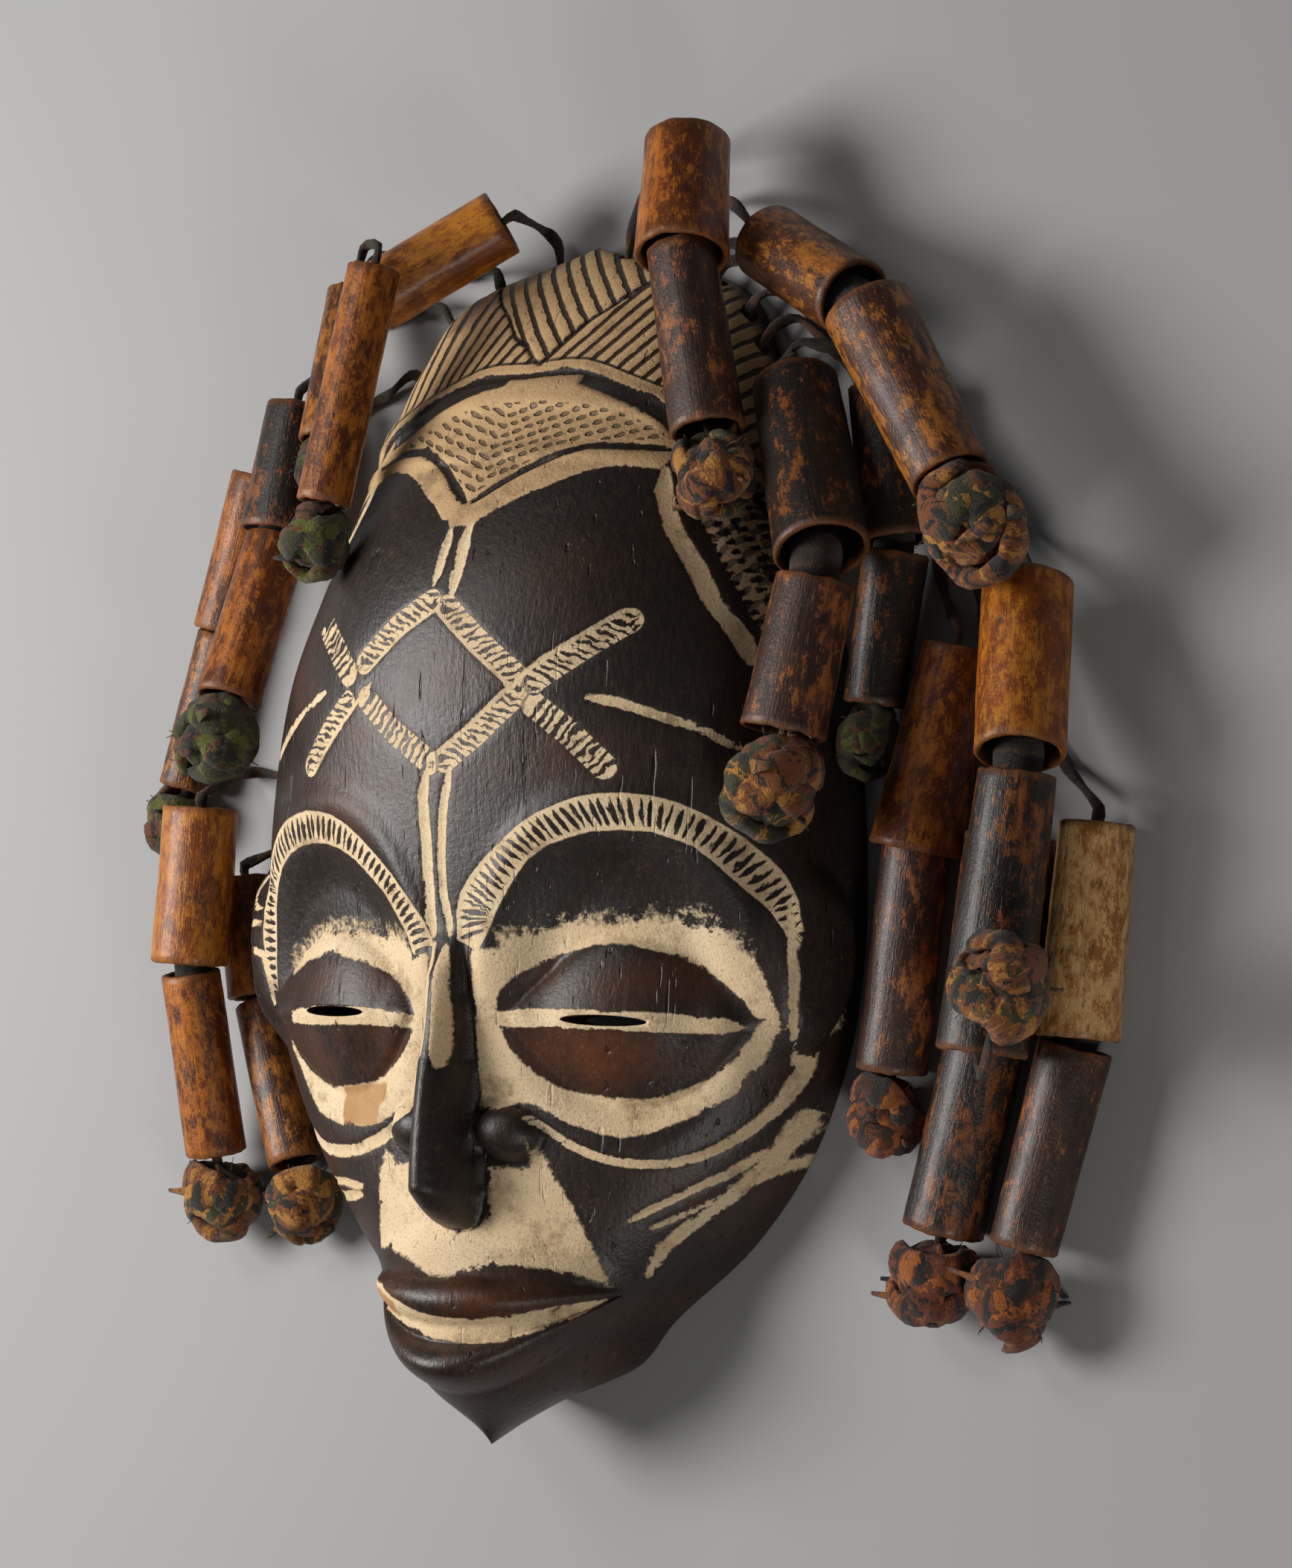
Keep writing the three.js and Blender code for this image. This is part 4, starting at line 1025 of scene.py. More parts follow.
@dataclass(frozen=True)
class BambooFinish:
    """Smoked bamboo, rubbed through to amber where it is handled, with painted shade inside its bore."""

    seed: float
    dark: Triple
    warm: Triple
    bright: Triple
    worn: float

    def dressed(self, name: str) -> bpy.types.Material:
        """Makes the material; it reads the tube's own place: round it and along it, in millimetres."""
        n = Nodes(name)
        place = n.add("ShaderNodeAttribute", {"attribute_name": "tube_place"}, out="Vector")

        def along(scale: Triple, detail: float = 3.0, rough: float = 0.6) -> Value:
            """Noise stretched along the tube."""
            shift = (self.seed, 2 * self.seed, -self.seed)
            where = n.add("ShaderNodeMapping", {}, {"Vector": place, "Location": shift, "Scale": scale})
            return n.noise(1.0, detail, rough, where)

        fibre = along((2.2, 2.2, 0.06))
        streak = along((0.42, 0.42, 0.022), 4)
        area = along((0.085, 0.085, 0.036), 3)
        flake = along((0.45, 0.45, 0.22), 5, 0.7)
        speck = along((1.7, 1.7, 1.1), 3, 0.7)
        cloud = along((0.11, 0.11, 0.085), 6, 0.68)
        worn_at = area * 0.5 + cloud * 0.75 + (streak - 0.5) * 0.18 + (flake - 0.5) * 0.62
        worn_at = worn_at + (speck - 0.5) * 0.4 - 0.09
        worn = worn_at.step(0.58 - self.worn, 0.66 - self.worn)
        light = (worn_at + (fibre - 0.5) * 0.2).step(0.72 - self.worn, 0.80 - self.worn)
        rust = (cloud * 0.7 + flake * 0.4).step(0.42 - self.worn, 0.66 - self.worn)
        colour = n.mix(rust * 0.75 + fibre * 0.12, self.dark, self.warm)
        colour = n.mix(worn * 0.9, colour, n.mix(flake.step(0.3, 0.7), self.warm, self.bright))
        colour = n.mix(light * 0.8, colour, self.bright)
        soot = along((0.16, 0.16, 0.06), 5, 0.75).step(0.54, 0.66)
        colour = n.mix(soot * 0.75, colour, tuple(0.6 * c for c in self.dark))
        chip = (flake * 0.6 + speck * 0.5).step(0.66, 0.72)
        colour = n.mix(chip * (0.35 + self.worn), colour, (0.33, 0.095, 0.018))
        scratch = along((5.0, 5.0, 0.11), 2).step(0.66, 0.74)
        colour = n.mix(scratch * 0.4, colour, tuple(min(1.0, 1.6 * c) for c in self.bright))
        cut = n.attribute("tube_cut")
        colour = n.mix(cut * 0.65, colour, n.mix(fibre, (0.075, 0.022, 0.008), (0.30, 0.11, 0.025)))
        # Painted shade: the bore darkens to near-black from a few millimetres inside each mouth.
        inner = n.attribute("tube_inner")
        colour = n.mix(inner * 0.92, colour, (0.016, 0.009, 0.006))
        rough = 0.24 + fibre * 0.18 + soot * 0.14 + chip * 0.2 + cut * 0.25 + inner * 0.3
        height = fibre * 0.25 + speck * 0.3 + streak * 0.25 - chip * 0.4 - scratch * 0.15 - soot * 0.1
        return n.finish(
            colour, rough, height, 0.0006, Coat_Weight=0.12, Coat_Roughness=0.2, Specular_IOR_Level=0.36
        )


@dataclass(frozen=True)
class PrintedCloth:
    """Old printed cotton, wound tight: rust, ochre, dark green and black."""

    seed: float
    main: Triple
    second: Triple
    bright: Triple

    def dressed(self, name: str) -> bpy.types.Material:
        """Makes the material; it reads which strand a place lies on, how far along it, and how much painted
        shade darkens it.
        """
        n = Nodes(name)
        strand, along = n.attribute("strand"), n.attribute("strand_u")
        shift = (self.seed, self.seed * 0.7, 0.0)
        where = n.add("ShaderNodeMapping", {}, {"Vector": n.place(), "Location": shift, "Scale": (1, 1, 1)})
        wave = n.noise(330, 3, 0.6, where)
        spread = {0: along * 0.30 + wave * 1.3, 1: strand * 7.7, 2: wave * 2.4}
        leaf = n.noise(1.0, 2, 0.5, n.add("ShaderNodeCombineXYZ", {}, spread))
        weave = n.noise(3200, 2, 0.6)
        fibre = n.noise(1000, 4, 0.7)
        kind = (strand * 3.37 + self.seed).fract()
        colour = n.mix((kind * 0.5 + wave * 0.7).step(0.62, 0.68), self.main, self.second)
        colour = n.mix(leaf.step(0.56, 0.60), colour, self.bright)
        colour = n.mix(1 - leaf.step(0.42, 0.46), colour, (0.010, 0.010, 0.008))
        thread = (((along * 1.6 + wave * 3.0).fract() - 0.5).abs() * 2).step(0.2, 0.9)
        colour = n.mix(thread * 0.30, colour, (0.025, 0.014, 0.008))
        dirt = fibre.step(0.35, 0.75)
        colour = n.mix(dirt * 0.35, colour, (0.030, 0.015, 0.007))
        # Painted shade: shaded strands are darkened towards near-black.
        painted_shade = n.attribute("strand_dark")
        colour = n.mix(painted_shade * 0.9, colour, (0.014, 0.010, 0.008))
        height = weave * 0.45 + fibre * 0.8 + wave * 0.8
        return n.finish(colour, 0.84 + weave * 0.12, height, 0.0009, Sheen_Weight=0.15, Sheen_Roughness=0.5)


@dataclass(frozen=True)
class FloorPaper:
    """The plain pale ground."""

    colour: Triple = (0.36, 0.36, 0.36)

    def dressed(self, name: str) -> bpy.types.Material:
        """Makes the material."""
        n = Nodes(name)
        tone = n.noise(3.0, 2, 0.5)
        pale = tuple(c * 1.04 for c in self.colour)
        return n.finish(n.mix(tone, self.colour, pale), 0.9, None)


@dataclass
class Mask:
    """The carved mask: one hollow piece of wood with slit eyes and lacing holes."""

    form: MaskForm
    drawing: FaceDrawing
    holes: tuple[tuple[int, float], ...]
    rows: int = 400
    columns: int = 222
    slit_length: float = 21.0
    slit_height: float = 2.6
    slit_depth: float = 118.0
    hollow_rows: int = 60
    hollow_columns: int = 44
    hole_radius: float = HOLE_RADIUS
    shift: Vector = field(default_factory=Vector)

    def grid(self, rows: int, columns: int, surface: Callable) -> np.ndarray:
        """Places on one of the form's surfaces, in millimetres."""
        u = np.linspace(0, 1, rows)
        t = 0.65 * u + 0.35 * (1 - np.cos(np.pi * u)) / 2
        s = np.linspace(-1, 1, columns)
        angle = (s * 0.8 + 0.2 * s**3) * math.pi / 2
        tt, aa = np.meshgrid(t, angle, indexing="ij")
        return np.stack(surface(tt, aa), axis=-1)

    def outside(self) -> bmesh.types.BMesh:
        """The outside with its cut lines, closed flat at the rim."""
        places = self.grid(self.rows, self.columns, self.form.carved)
        across, along = np.gradient(places, axis=1), np.gradient(places, axis=0)
        normal = np.cross(across, along)
        size = np.linalg.norm(normal, axis=-1, keepdims=True)
        normal = np.where(size > 1e-6, normal / np.maximum(size, 1e-6), 0)
        found = self.drawing.fields(places[..., 0], places[..., 1])
        fade = smooth(1.0, 6.0, places[..., 2])
        places = places + normal * (self.drawing.relief(found) * fade)[..., None]
        places[:, 0, 2] = places[:, -1, 2] = 0
        bm = bmesh.new()
        patch(bm, places * MM + np.array(self.shift))
        closed(bm, 2e-6)
        for face in bm.faces:
            face.smooth = True
            face.material_index = 1 if face.normal.z < -0.999 else 0
        return bm

    def inside(self) -> bmesh.types.BMesh:
        """The hollow, as a closed body to cut away."""
        places = self.grid(self.hollow_rows, self.hollow_columns, self.form.hollow)
        foot = [
            np.repeat((row[:1] + row[-1:]) / 2, places.shape[1], axis=0) for row in (places[0], places[-1])
        ]
        places = np.concatenate((foot[0][None], places, foot[1][None]))
        bm = bmesh.new()
        patch(bm, places * MM + np.array(self.shift))
        closed(bm, 2e-6)
        return bm

    def cutters(self) -> bmesh.types.BMesh:
        """The eye slits and the lacing holes."""
        bm = bmesh.new()
        for side in (-1, 1):
            made = bmesh.ops.create_cone(
                bm, cap_ends=True, segments=48, radius1=1.0, radius2=1.0, depth=1.0
            )["verts"]
            rim = self.form.half_width * (EYE_ACROSS - 0.03) * side
            place = Vector((rim, self.form.height * EYE_ALONG, 60)) * MM + self.shift
            size = Vector((self.slit_length / 2, self.slit_height / 2, self.slit_depth)) * MM
            bmesh.ops.scale(bm, verts=made, vec=size)
            bmesh.ops.translate(bm, verts=made, vec=place)
        for side, distance in self.holes:
            mouth, outward = self.form.lacing(side, distance)
            radius = self.hole_radius * MM
            made = bmesh.ops.create_cone(
                bm, cap_ends=True, segments=20, radius1=radius, radius2=radius, depth=0.030
            )["verts"]
            turn = outward.to_track_quat("Z", "Y").to_matrix()
            bmesh.ops.rotate(bm, verts=made, matrix=turn, cent=Vector())
            bmesh.ops.translate(bm, verts=made, vec=mouth * MM + self.shift)
        return bm

    def build(self) -> bpy.types.Object:
        """Builds, cuts and dresses the mask."""
        painted, raw = PaintedWood().dressed("painted_wood"), RawWood().dressed("adzed_wood")
        made = piece("mask_wood", self.outside(), painted, raw)
        for name, bm in (("hollow", self.inside()), ("cutters", self.cutters())):
            for face in bm.faces:
                face.material_index = 1
            tool = piece(name, bm, painted, raw)
            cut = made.modifiers.new(name, "BOOLEAN")
            cut.operation, cut.object, cut.solver = "DIFFERENCE", tool, "MANIFOLD"
            made.data = self.applied(made)
            made.modifiers.clear()
            bpy.data.objects.remove(tool)
        self.mark(made.data)
        return made

    @staticmethod
    def applied(made: bpy.types.Object) -> bpy.types.Mesh:
        """The object's mesh with its modifiers applied."""
        shown = made.evaluated_get(bpy.context.evaluated_depsgraph_get())
        return bpy.data.meshes.new_from_object(shown)

    def mark(self, mesh: bpy.types.Mesh) -> None:
        """Stores the drawing's numbers on the finished mesh."""
        co = (corners(mesh) - np.array(self.shift)) / MM
        front = np.zeros(len(co))
        outer = [v for face in mesh.polygons if face.material_index == 0 for v in face.vertices]
        front[np.array(outer)] = 1.0
        fields = self.drawing.fields(co[:, 0], co[:, 1])
        fields["front"] = front * np.where(co[:, 1] > 50, smooth(3.5, 8.0, co[:, 2]), 1.0)
        fields["paint"] = np.maximum(fields["paint"], -30)
        for name, values in fields.items():
            store(mesh, name, values)
        LOG.info("mask: %d faces", len(mesh.polygons))


@dataclass
class Tube:
    """One length of bamboo, open at both ends, in the place of its CAD node."""

    node: str
    seed: int
    sides: int = 56
    wall: float = 1.6
    start: Vector = field(default_factory=Vector)
    end: Vector = field(default_factory=Vector)
    start_radius: float = 0.0
    end_radius: float = 0.0

    def __post_init__(self) -> None:
        """Reads the axis and the two radii from the CAD node."""
        co = corners(bpy.data.objects[self.node].data)
        centre = co.mean(0)
        axis = np.linalg.svd(co - centre, full_matrices=False)[2][0]
        place = (co - centre) @ axis
        middle = (place.min() + place.max()) / 2
        ends = []
        for half in (co[place < middle], co[place > middle]):
            seat = half.mean(0)
            ends.append((Vector(seat), float(np.linalg.norm(half - seat, axis=1).max())))
        ends.sort(key=lambda end: -end[0].y)
        (self.start, self.start_radius), (self.end, self.end_radius) = ends

    def build(self, finish: bpy.types.Material) -> bpy.types.Object:
        """Spins the wall's profile, then dents and wears it."""
        length = (self.end - self.start).length
        wall = self.wall * MM
        steps = max(8, round(length / STEP))
        taper = self.end_radius - self.start_radius
        outer = [(self.start_radius + taper * k / steps, length * k / steps) for k in range(steps + 1)]
        inner = [(r - wall, z) for r, z in outer]
        lip = 0.45 * MM
        first = [(inner[0][0], lip), (inner[0][0] + lip, 0.0), (outer[0][0] - lip, 0.0), (outer[0][0], lip)]
        wide, bore = outer[-1][0], inner[-1][0]
        last = [(wide, length - lip), (wide - lip, length), (bore + lip, length), (bore, length - lip)]
        profile = first + outer[1:-1] + last + inner[-2:0:-1] + first[:1]
        turns = np.linspace(0, 2 * math.pi, self.sides + 1)
        local = np.array([[(r * math.cos(a), r * math.sin(a), z) for a in turns] for r, z in profile])
        for row, (r, z) in zip(local, profile):
            for k in range(self.sides + 1):
                a = 2 * math.pi * (k % self.sides) / self.sides
                where = Vector((math.cos(a) * 0.9, math.sin(a) * 0.9, z / 0.014 + self.seed * 7.3))
                push = 1 + 0.022 * noise.noise(where) + 0.008 * noise.noise(where * 3.1) - 0.010
                row[k, :2] *= push
                near_end = min(z, length - z)
                if near_end < 0.0012:
                    ragged = 0.00035 * noise.noise(Vector((math.cos(a) * 3, math.sin(a) * 3, self.seed + z)))
                    row[k, 2] += ragged
        bm = bmesh.new()
        patch(bm, local)
        closed(bm, 1e-7)
        for face in bm.faces:
            face.smooth = True
        made = piece(self.node + "_bamboo", bm, finish)
        co = corners(made.data)
        radius = np.hypot(co[:, 0], co[:, 1])
        share = np.clip(co[:, 2] / length, 0, 1)
        limit = self.start_radius + taper * share
        depth = (limit - radius) / wall
        near = np.minimum(co[:, 2], length - co[:, 2])
        store(made.data, "tube_place", co / MM)
        # Painted shade inside the bore, fading in from each mouth.
        store(made.data, "tube_inner", smooth(0.45, 0.8, depth) * smooth(0.0008, 0.004, near))
        store(made.data, "tube_cut", 1 - smooth(0.0003, 0.0011, near))
        turn = (self.end - self.start).to_track_quat("Z", "Y").to_matrix().to_4x4()
        made.data.transform(Matrix.Translation(self.start) @ turn)
        return made


@dataclass(frozen=True)
class Braid:
    """One braid: its side, its hole's way round the rim, its tie's bends and its knot.

    Each bend is its distance outside the rim in millimetres, its place along the
    mask as a share of its height, and its height over the ground.
    """

    name: str
    side: int
    lacing: float
    bends: tuple[tuple[float, ...], ...]
    knot: float
    folded: bool = False
    lifted: bool = False

    @property
    def tubes(self) -> tuple[str, ...]:
        """The braid's tube nodes, from the rim outwards."""
        names = (f"{self.name}_wide_tube", f"{self.name}_narrow_tube")
        return tuple(name for name in names if name in bpy.data.objects)

    @property
    def tie(self) -> str:
        """The braid's tie node."""
        return f"{self.name}_tie"


BRAIDS = (
    Braid("right_4", 1, 68, ((11, 0.369, 6), (22.5, 0.357, 9)), 8.0),
    Braid("right_5", 1, 59.5, ((9.5, 0.393), (18.5, 0.349), (26.5, 0.282), (32, 0.208), (31.5, 0.161)), 9.2),
    Braid(
        "right_8", 1, 50,
        ((13.5, 0.409), (24, 0.362), (31.5, 0.295), (38.5, 0.221), (40.5, 0.148), (37.5, 0.04)), 10.5,
    ),
    Braid(
        "right_7", 1, 37,
        ((19.5, 0.43), (30, 0.376), (36.5, 0.309), (44.5, 0.235), (47, 0.154), (49.5, 0.067),
        (54.5, 0.027)), 11.0,
    ),
    Braid(
        "right_6", 1, 26.5,
        ((36, 0.46), (37.5, 0.446), (36, 0.389), (42, 0.322), (49.5, 0.252),
        (54.5, 0.215)), 11.5, folded=True,
    ),
    Braid("right_3", 1, 78, ((7.5, 0.357, 7),), 12.0),
    Braid("right_2", 1, 17, ((24, 0.483), (38, 0.493, 4)), 12.5),
    Braid("right_1", 1, 8, ((9, 0.503), (17, 0.523, 2), (25, 0.533, 9)), 10.0),
    Braid("left_6", -1, 168, ((10.5, -0.04),), 9.5),
    Braid("left_5", -1, 148, ((14.5, 0.02), (26.5, 0.02)), 10.5),
    Braid("left_4", -1, 66, ((14.5, 0.349), (29.5, 0.329), (39, 0.326)), 8.8),
    Braid("left_3", -1, 48, ((18, 0.423), (29.5, 0.409), (37, 0.383)), 11.0),
    Braid("left_2", -1, 30, ((27.5, 0.45), (62, 0.466), (71, 0.477)), 7.0),
    Braid("left_1", -1, 12, ((16, 0.48, 4),), 9.0, lifted=True),
)


@dataclass
class Tie:
    """A twisted strip of cloth from its stop knot, through the rim and the tubes, to its end knot."""

    braid: Braid
    form: MaskForm
    tubes: tuple[Tube, ...]
    shift: Vector
    seed: int
    strip: float = 1.5 * MM
    mouth_turn: float = 3.5 * MM
    lift_turn: float = 5.5 * MM
    fold_back: float = 15.0 * MM
    gap: float = 0.35 * MM
    open_side: Vector = field(default_factory=lambda: Vector((0.545, -0.07, 0.835)))

    def bend(self, place: tuple[float, ...]) -> Vector:
        """A bend of the strip's run over the ground."""
        out, share, *up = place
        y = share * self.form.height
        x = self.braid.side * (self.form.rim_half_width(y) + out)
        return Vector((x, y, 1.85 + (up[0] if up else 0.0))) * MM + self.shift

    def over(self, along: Vector) -> Vector:
        """The side of a tube that faces up and out."""
        return (self.open_side - along * self.open_side.dot(along)).normalized()

    def last_stretch(self) -> tuple[list[Vector], Vector, Vector]:
        """The strip's way through the tubes, the end knot's middle and the last tube's direction."""
        radius = self.braid.knot * MM
        last = self.tubes[-1]
        away = (last.end - last.start).normalized()
        over = self.over(away)
        route = []
        if len(self.tubes) > 1:
            upper = self.tubes[0]
            out = (upper.end - upper.start).normalized()
            if self.braid.lifted:
                beyond = upper.end + out * self.mouth_turn
                beside = (over - out * over.dot(out)).normalized()
                turn = beyond + beside * (upper.end_radius + 1.7 * self.strip)
                above = last.start - away * self.lift_turn
                route += [beyond, turn, turn + away * away.dot(above - turn), above, last.start]
            else:
                route.append((upper.end + last.start) / 2)
        route.append(last.end)
        if not self.braid.folded:
            return route, last.end + away * (radius + self.gap), away
        route += [last.end + away * self.mouth_turn]
        route += [route[-1] + over * (last.end_radius + 2 * self.strip)]
        return route, last.end - away * self.fold_back + over * (last.end_radius + radius + self.gap), away

    def wad(self, bm: bmesh.types.BMesh, centre: Vector, radius: float, away: Vector) -> None:
        """The end knot: a lump of cloth with strands wound round it."""
        made = bmesh.ops.create_icosphere(bm, subdivisions=4, radius=1.0)["verts"]
        axis = away.to_track_quat("Z", "Y")
        strand, dark = mark(bm, "strand"), mark(bm, "strand_dark")
        along = mark(bm, "strand_u")
        for vert in made:
            p = vert.co.copy()
            turn = math.atan2(p.y, p.x)
            fold = 0.06 * math.sin(5 * turn + 6 * p.z + self.seed)
            fold += 0.07 * noise.noise(p * 2.2 + Vector((self.seed, 0, 0)))
            p *= 0.82 + fold
            vert[strand], vert[dark], vert[along] = 0.31 * self.seed % 1, 0.0, 9 * turn + 4 * p.z
            vert.co = centre + axis @ Vector((p.x * 0.98, p.y * 0.98, p.z * 0.94)) * radius
        across = away.orthogonal().normalized()
        for k in range(5):
            lean = Quaternion(across, 0.8 * math.sin(2.3 * k + self.seed) + (1.1 if k % 2 else 0.0))
            turn = Quaternion(away, 0.95 * k + 1.3 * self.seed) @ lean
            offset = away * radius * 0.30 * math.sin(1.7 * k + self.seed)
            size = radius * (0.76 + 0.05 * math.sin(3.1 * k + self.seed))
            points = []
            for i in range(36):
                a = 2 * math.pi * i / 36
                wave = (0.16 * math.sin(2 * a + k) + 0.07 * math.sin(5 * a + 2 * k)) * size
                place = Vector((size * math.cos(a), size * math.sin(a), wave))
                points.append(centre + offset + turn @ (axis @ place))

            def width(share: float, k: int = k) -> tuple[float, float]:
                """The strand's folds."""
                fold = 1 + 0.22 * math.sin(10 * share * math.pi + 1.9 * k)
                return radius * 0.37 * fold, radius * (0.19 + 0.04 * math.sin(14 * share * math.pi + k))

            sweep(bm, points, width, sides=10, ring=True, middle=centre + offset, strand=0.13 + 0.171 * k)

    def frays(self, bm: bmesh.types.BMesh, centre: Vector, radius: float, away: Vector) -> None:
        """The knot's loose tails and threads."""
        across = away.orthogonal().normalized()
        for k in range(3):
            spin = Quaternion(away, 2.1 * k + 2.1 * self.seed)
            out = (spin @ across + away * (0.35 + 0.6 * math.sin(k + self.seed))).normalized()
            bow = away.cross(out).normalized() * math.sin(2.2 * k + self.seed)
            points = [
                centre + out * radius * (0.66 + 0.06 * i) + bow * radius * 0.028 * i * i for i in range(7)
            ]

            def width(share: float) -> tuple[float, float]:
                """A tail that narrows."""
                return radius * (0.24 - 0.13 * share), radius * 0.05

            sweep(bm, points, width, sides=8, twist=1.6, strand=0.5 + 0.2 * k, dark=0.3)
        for k in range(14):
            turns = (2.3 * k + self.seed, 1.7 * k + 2.0 * self.seed + 1.0, 3.1 * k + 1.5 * self.seed + 2.0)
            out = Vector([math.sin(a) for a in turns]).normalized()
            side = out.orthogonal().normalized() * (0.5 * math.sin(k * 2.1))
            points = [
                centre + out * radius * (0.84 + 0.06 * i) + side * radius * 0.016 * i * i for i in range(6)
            ]
            sweep(bm, points, lambda share: (0.00013, 0.00013), sides=4, strand=0.8)

    def bundle(self, bm: bmesh.types.BMesh, start: Vector, end: Vector, radius: float) -> None:
        """The thick folds of cloth where one tube meets the next, painted near-black as shade in the joint.
        """
        points = [start.lerp(end, i / 12) for i in range(13)]

        def width(share: float) -> tuple[float, float]:
            """A bundle that swells in its middle."""
            swell = radius * (0.45 + 0.55 * math.sin(math.pi * share) ** 0.5)
            return swell * (1 + 0.06 * math.sin(9 * share)), swell * 0.9

        # Painted shade: the bundle is darkened fully so the joint reads as a dark gap.
        sweep(bm, points, width, sides=14, twist=1.0, strand=0.4, dark=1.0)

    def build(self, finish: bpy.types.Material) -> bpy.types.Object:
        """Builds the strip with its two knots."""
        mouth, outward = self.form.lacing(self.braid.side, self.braid.lacing)
        slack = 6.0 + (self.seed % 2) * 8.0
        stop = (mouth - outward * (self.form.rim_wall + STOP_RADIUS + slack)) * MM + self.shift
        out = (mouth + outward * 3.5) * MM + self.shift
        first = self.tubes[0]
        entry = first.start + (first.start - first.end).normalized() * self.mouth_turn
        stretch, centre, away = self.last_stretch()
        radius = self.braid.knot * MM
        route = [stop, out] + [self.bend(place) for place in self.braid.bends] + [entry, first.start]
        path = smooth_path(route + stretch + [centre], STEP)
        bm = cloth_mesh()
        count = len(path)

        def width(share: float) -> tuple[float, float]:
            """The strip's twisted section."""
            return self.strip * (1.0 + 0.1 * math.sin(share * count * 0.9)), self.strip * 0.62

        # Painted shade: the strip is darkened most of the way to near-black where it runs beside and under
        # the tubes.
        sweep(bm, path, width, sides=10, twist=count * 0.42, dark=0.8)
        # Each joint between two tubes is filled with a bundle painted as shade.
        if len(self.tubes) > 1 and not self.braid.lifted:
            upper, lower = self.tubes
            lumen = min(upper.end_radius, lower.start_radius) - 1.7 * MM
            down = (lower.end - lower.start).normalized()
            inward = (upper.start - upper.end).normalized()
            self.bundle(bm, upper.end + inward * 0.006, lower.start + down * 0.006, lumen * 0.82)
        self.wad(bm, centre, radius, away)
        self.frays(bm, centre, radius, away)
        back = (stop - out).normalized()
        small = STOP_RADIUS * MM
        made = bmesh.ops.create_icosphere(bm, subdivisions=2, radius=small * 0.8)["verts"]
        bmesh.ops.translate(bm, verts=made, vec=stop)
        for k in range(3):
            turn = Quaternion(back, 1.1 * k) @ Quaternion(back.orthogonal().normalized(), 0.6 + 0.7 * k)
            angles = np.linspace(0, 2 * math.pi, 15)[:-1]
            reach = small * 0.68
            ring = [stop + turn @ Vector((reach * math.cos(a), reach * math.sin(a), 0)) for a in angles]
            # Painted shade: the stop knot's rings are half darkened inside the hollow.
            sweep(bm, ring, lambda share: (small * 0.34, small * 0.26), sides=8, ring=True, dark=0.5)
        closed(bm, 1e-8)
        rest = 1.5 * MM
        for vert in bm.verts:
            if vert.co.z < rest:
                vert.co.z = rest * math.exp(vert.co.z / rest - 1)
        for face in bm.faces:
            face.smooth = True
        return piece(self.braid.name + "_cloth_tie", bm, finish)


class Tone(Enum):
    """How smoked or rubbed a tube is: its dark, warm and bright colours and its worn share."""

    BLACK = ((0.009, 0.007, 0.006), (0.024, 0.012, 0.007), (0.26, 0.075, 0.010), 0.01)
    BROWN = ((0.020, 0.009, 0.005), (0.095, 0.028, 0.008), (0.46, 0.16, 0.018), 0.06)
    PLUM = ((0.024, 0.013, 0.009), (0.070, 0.030, 0.018), (0.40, 0.13, 0.03), 0.02)
    RED = ((0.034, 0.009, 0.004), (0.150, 0.034, 0.005), (0.46, 0.145, 0.012), 0.09)
    AMBER = ((0.060, 0.014, 0.003), (0.250, 0.058, 0.004), (0.52, 0.19, 0.012), 0.13)
    PALE = ((0.070, 0.028, 0.010), (0.420, 0.170, 0.040), (0.84, 0.52, 0.22), 0.16)


TONES = {
    "right_1": (Tone.RED, Tone.PLUM),
    "right_2": (Tone.BROWN, Tone.BROWN),
    "right_3": (Tone.BLACK, Tone.PLUM),
    "right_4": (Tone.BLACK, Tone.BLACK),
    "right_5": (Tone.RED, Tone.PLUM),
    "right_6": (Tone.AMBER, Tone.BLACK),
    "right_7": (Tone.PALE, Tone.PLUM),
    "right_8": (Tone.BROWN, Tone.BLACK),
    "left_1": (Tone.AMBER, Tone.RED),
    "left_2": (Tone.BROWN,),
    "left_3": (Tone.BLACK, Tone.RED),
    "left_4": (Tone.RED, Tone.BROWN),
    "left_5": (Tone.AMBER, Tone.RED),
    "left_6": (Tone.RED, Tone.BROWN),
}


class Print(Enum):
    """The cloths: main, second and bright colours."""

    RUST = ((0.190, 0.042, 0.008), (0.070, 0.020, 0.008), (0.44, 0.12, 0.012))
    OCHRE = ((0.250, 0.070, 0.010), (0.050, 0.050, 0.010), (0.56, 0.24, 0.03))
    GREEN = ((0.040, 0.046, 0.005), (0.150, 0.038, 0.007), (0.13, 0.14, 0.010))


CLOTHS = {
    "right_1": Print.OCHRE, "right_2": Print.OCHRE, "right_3": Print.OCHRE, "right_4": Print.GREEN,
    "right_5": Print.RUST, "right_6": Print.OCHRE, "right_7": Print.RUST, "right_8": Print.RUST,
    "left_1": Print.GREEN, "left_2": Print.GREEN, "left_3": Print.GREEN, "left_4": Print.GREEN,
    "left_5": Print.OCHRE, "left_6": Print.OCHRE,
}


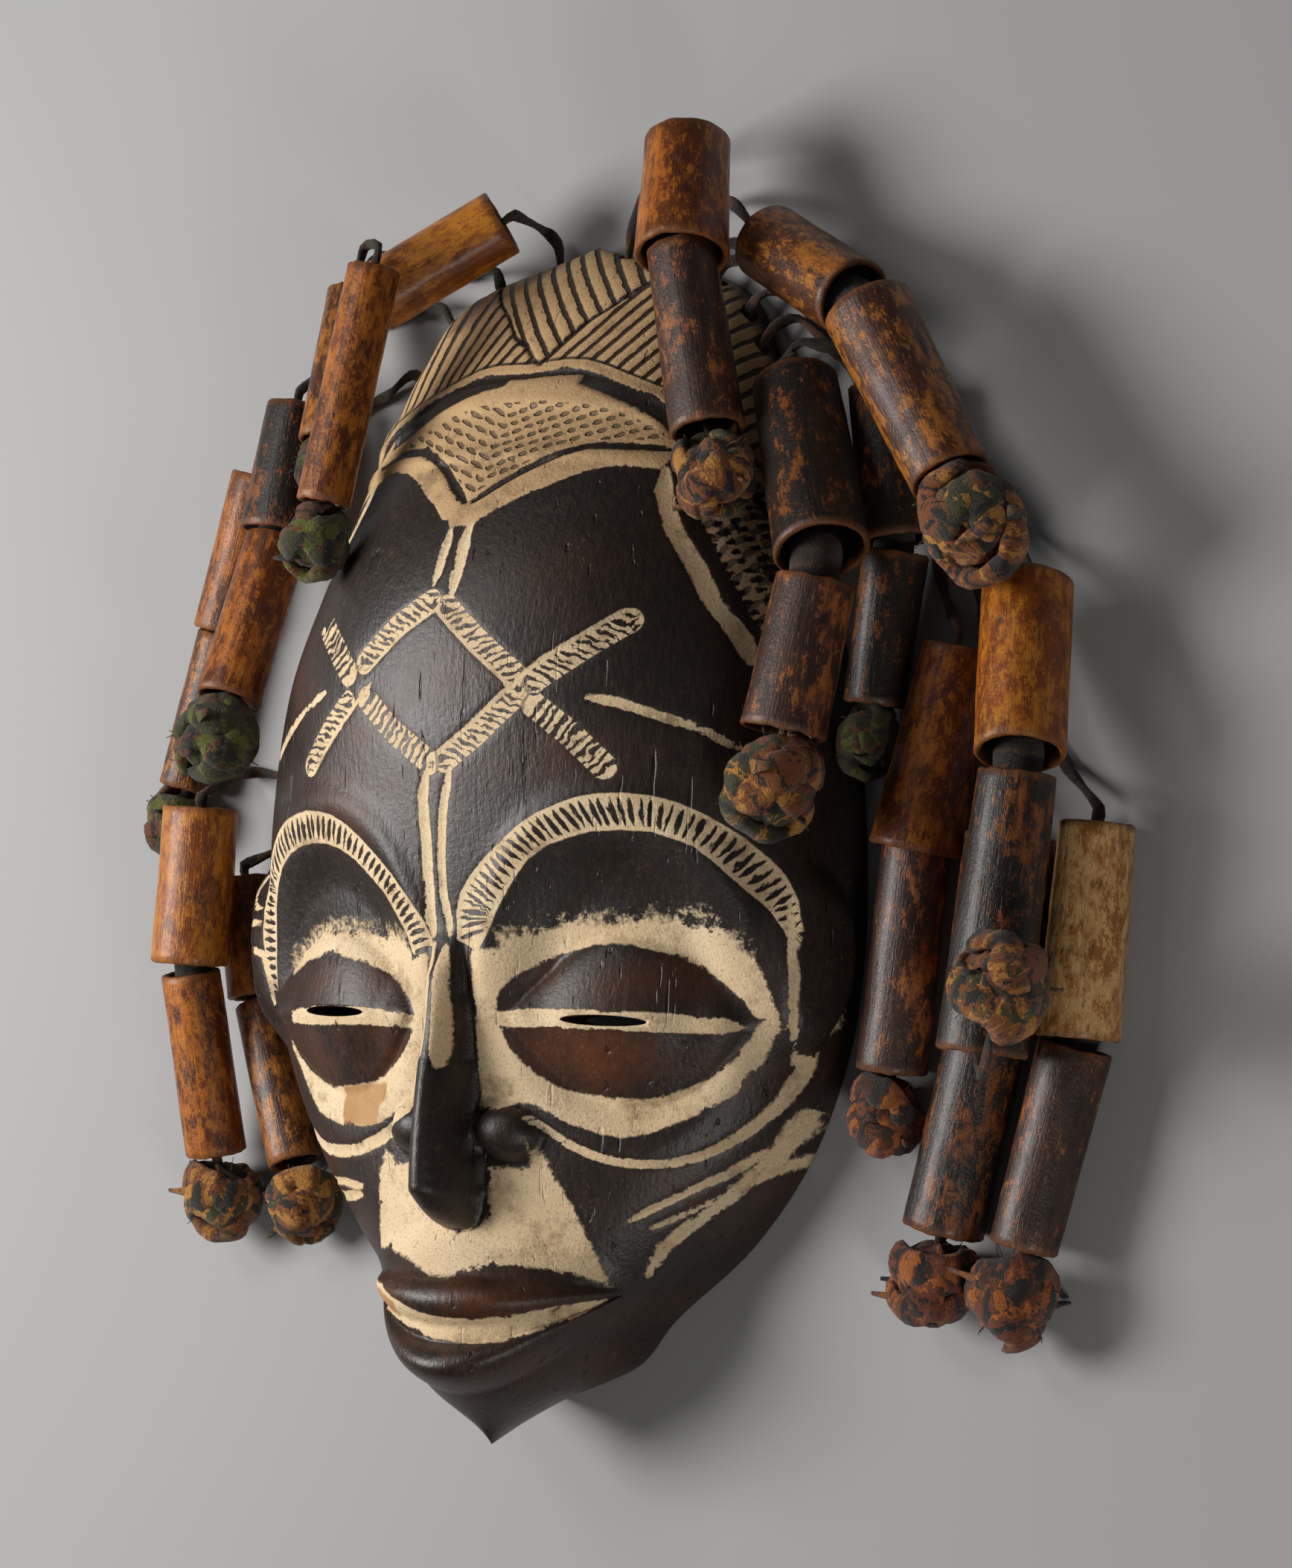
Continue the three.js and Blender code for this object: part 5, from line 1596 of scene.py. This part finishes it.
@dataclass(frozen=True)
class Photographer:
    """The camera, the floor and the lights."""

    yaw: float = 33.0
    pitch: float = -4.0
    roll: float = 2.5
    distance: float = 1.0
    target: Triple = (0.040, 0.0, 0.035)
    focal_pixels: float = 5630.0
    image_height: float = 2107.0

    def camera(self, shift: Vector) -> None:
        """Stands the camera where the photograph was taken from."""
        yaw, pitch, roll = (math.radians(a) for a in (self.yaw, self.pitch, self.roll))
        back = Vector((math.sin(yaw) * math.cos(pitch), math.sin(pitch), math.cos(yaw) * math.cos(pitch)))
        right = Vector((math.cos(yaw), 0, -math.sin(yaw)))
        up = back.cross(right)
        right, up = right * math.cos(roll) + up * math.sin(roll), up * math.cos(roll) - right * math.sin(roll)
        data = bpy.data.cameras.new("camera")
        data.sensor_width = SENSOR
        data.lens = self.focal_pixels * SENSOR / self.image_height
        data.clip_start, data.clip_end = 0.05, 20.0
        camera = bpy.data.objects.new("camera", data)
        turn = Matrix((right, up, back)).transposed().to_4x4()
        camera.matrix_world = Matrix.Translation(Vector(self.target) + shift + back * self.distance) @ turn
        bpy.context.scene.collection.objects.link(camera)
        bpy.context.scene.camera = camera

    def floor(self) -> None:
        """Lays the plain ground."""
        bm = bmesh.new()
        bmesh.ops.create_grid(bm, x_segments=4, y_segments=4, size=4.0)
        bmesh.ops.translate(bm, verts=bm.verts[:], vec=(0, 0, -0.0005))
        floor = piece("floor", bm, FloorPaper().dressed("floor_paper"))

    def light(self, name: str, place: Triple, size: float, power: float, tint: Triple) -> None:
        """Adds one soft light that faces the mask."""
        data = bpy.data.lights.new(name, "AREA")
        data.shape, data.size, data.energy, data.color = "DISK", size, power, tint
        lamp = bpy.data.objects.new(name, data)
        lamp.location = place
        lamp.rotation_mode = "QUATERNION"
        lamp.rotation_quaternion = Vector(place).to_track_quat("Z", "Y")
        bpy.context.scene.collection.objects.link(lamp)

    def studio(self) -> None:
        """Sets the world's soft light and the lamps."""
        world = bpy.data.worlds.new("studio")
        world.use_nodes = True
        world.node_tree.nodes["Background"].inputs[0].default_value = (0.95, 0.97, 1.0, 1.0)
        world.node_tree.nodes["Background"].inputs[1].default_value = 0.07
        bpy.context.scene.world = world
        self.light("key", (-0.61, 0.0, 0.66), 0.48, 9.0, (1.0, 0.98, 0.96))
        self.light("side", (0.62, -0.60, 0.50), 0.24, 2.0, (1.0, 0.97, 0.93))
        self.light("top", (-0.42, 0.60, 1.0), 0.40, 2.0, (1.0, 0.98, 0.95))
        bpy.context.scene.view_settings.view_transform = "Standard"


def main() -> None:
    """Builds the mask, its tubes and ties, the camera and the light."""
    logging.basicConfig(level=logging.INFO, format="%(name)s: %(message)s")
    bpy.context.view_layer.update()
    mask_low, mask_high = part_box("mask")
    form = MaskForm()
    shift = Vector(((mask_low.x + mask_high.x) / 2, mask_low.y - form.chin * form.height * MM, mask_low.z))
    holes = tuple((braid.side, braid.lacing) for braid in BRAIDS)
    mask = Mask(form, FaceDrawing(), holes, shift=shift).build()
    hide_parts("mask")
    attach(mask, "root")
    for seed, braid in enumerate(BRAIDS):
        tubes = []
        for k, node in enumerate(braid.tubes):
            tube = Tube(node, 2 * seed + k)
            tone = TONES[braid.name][k]
            finish = BambooFinish(17.0 * (2 * seed + k), *tone.value).dressed(node + "_bamboo")
            made = tube.build(finish)
            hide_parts(node)
            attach(made, "root")
            tubes.append(tube)
        cloth = PrintedCloth(0.37 * seed, *CLOTHS[braid.name].value).dressed(braid.name + "_cloth")
        tie = Tie(braid, form, tuple(tubes), shift, seed).build(cloth)
        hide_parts(braid.tie)
        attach(tie, "root")
        LOG.info("%s: %d tubes", braid.name, len(tubes))
    photographer = Photographer()
    photographer.camera(shift)
    photographer.floor()
    photographer.studio()
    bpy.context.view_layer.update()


if __name__ == "__main__":
    main()
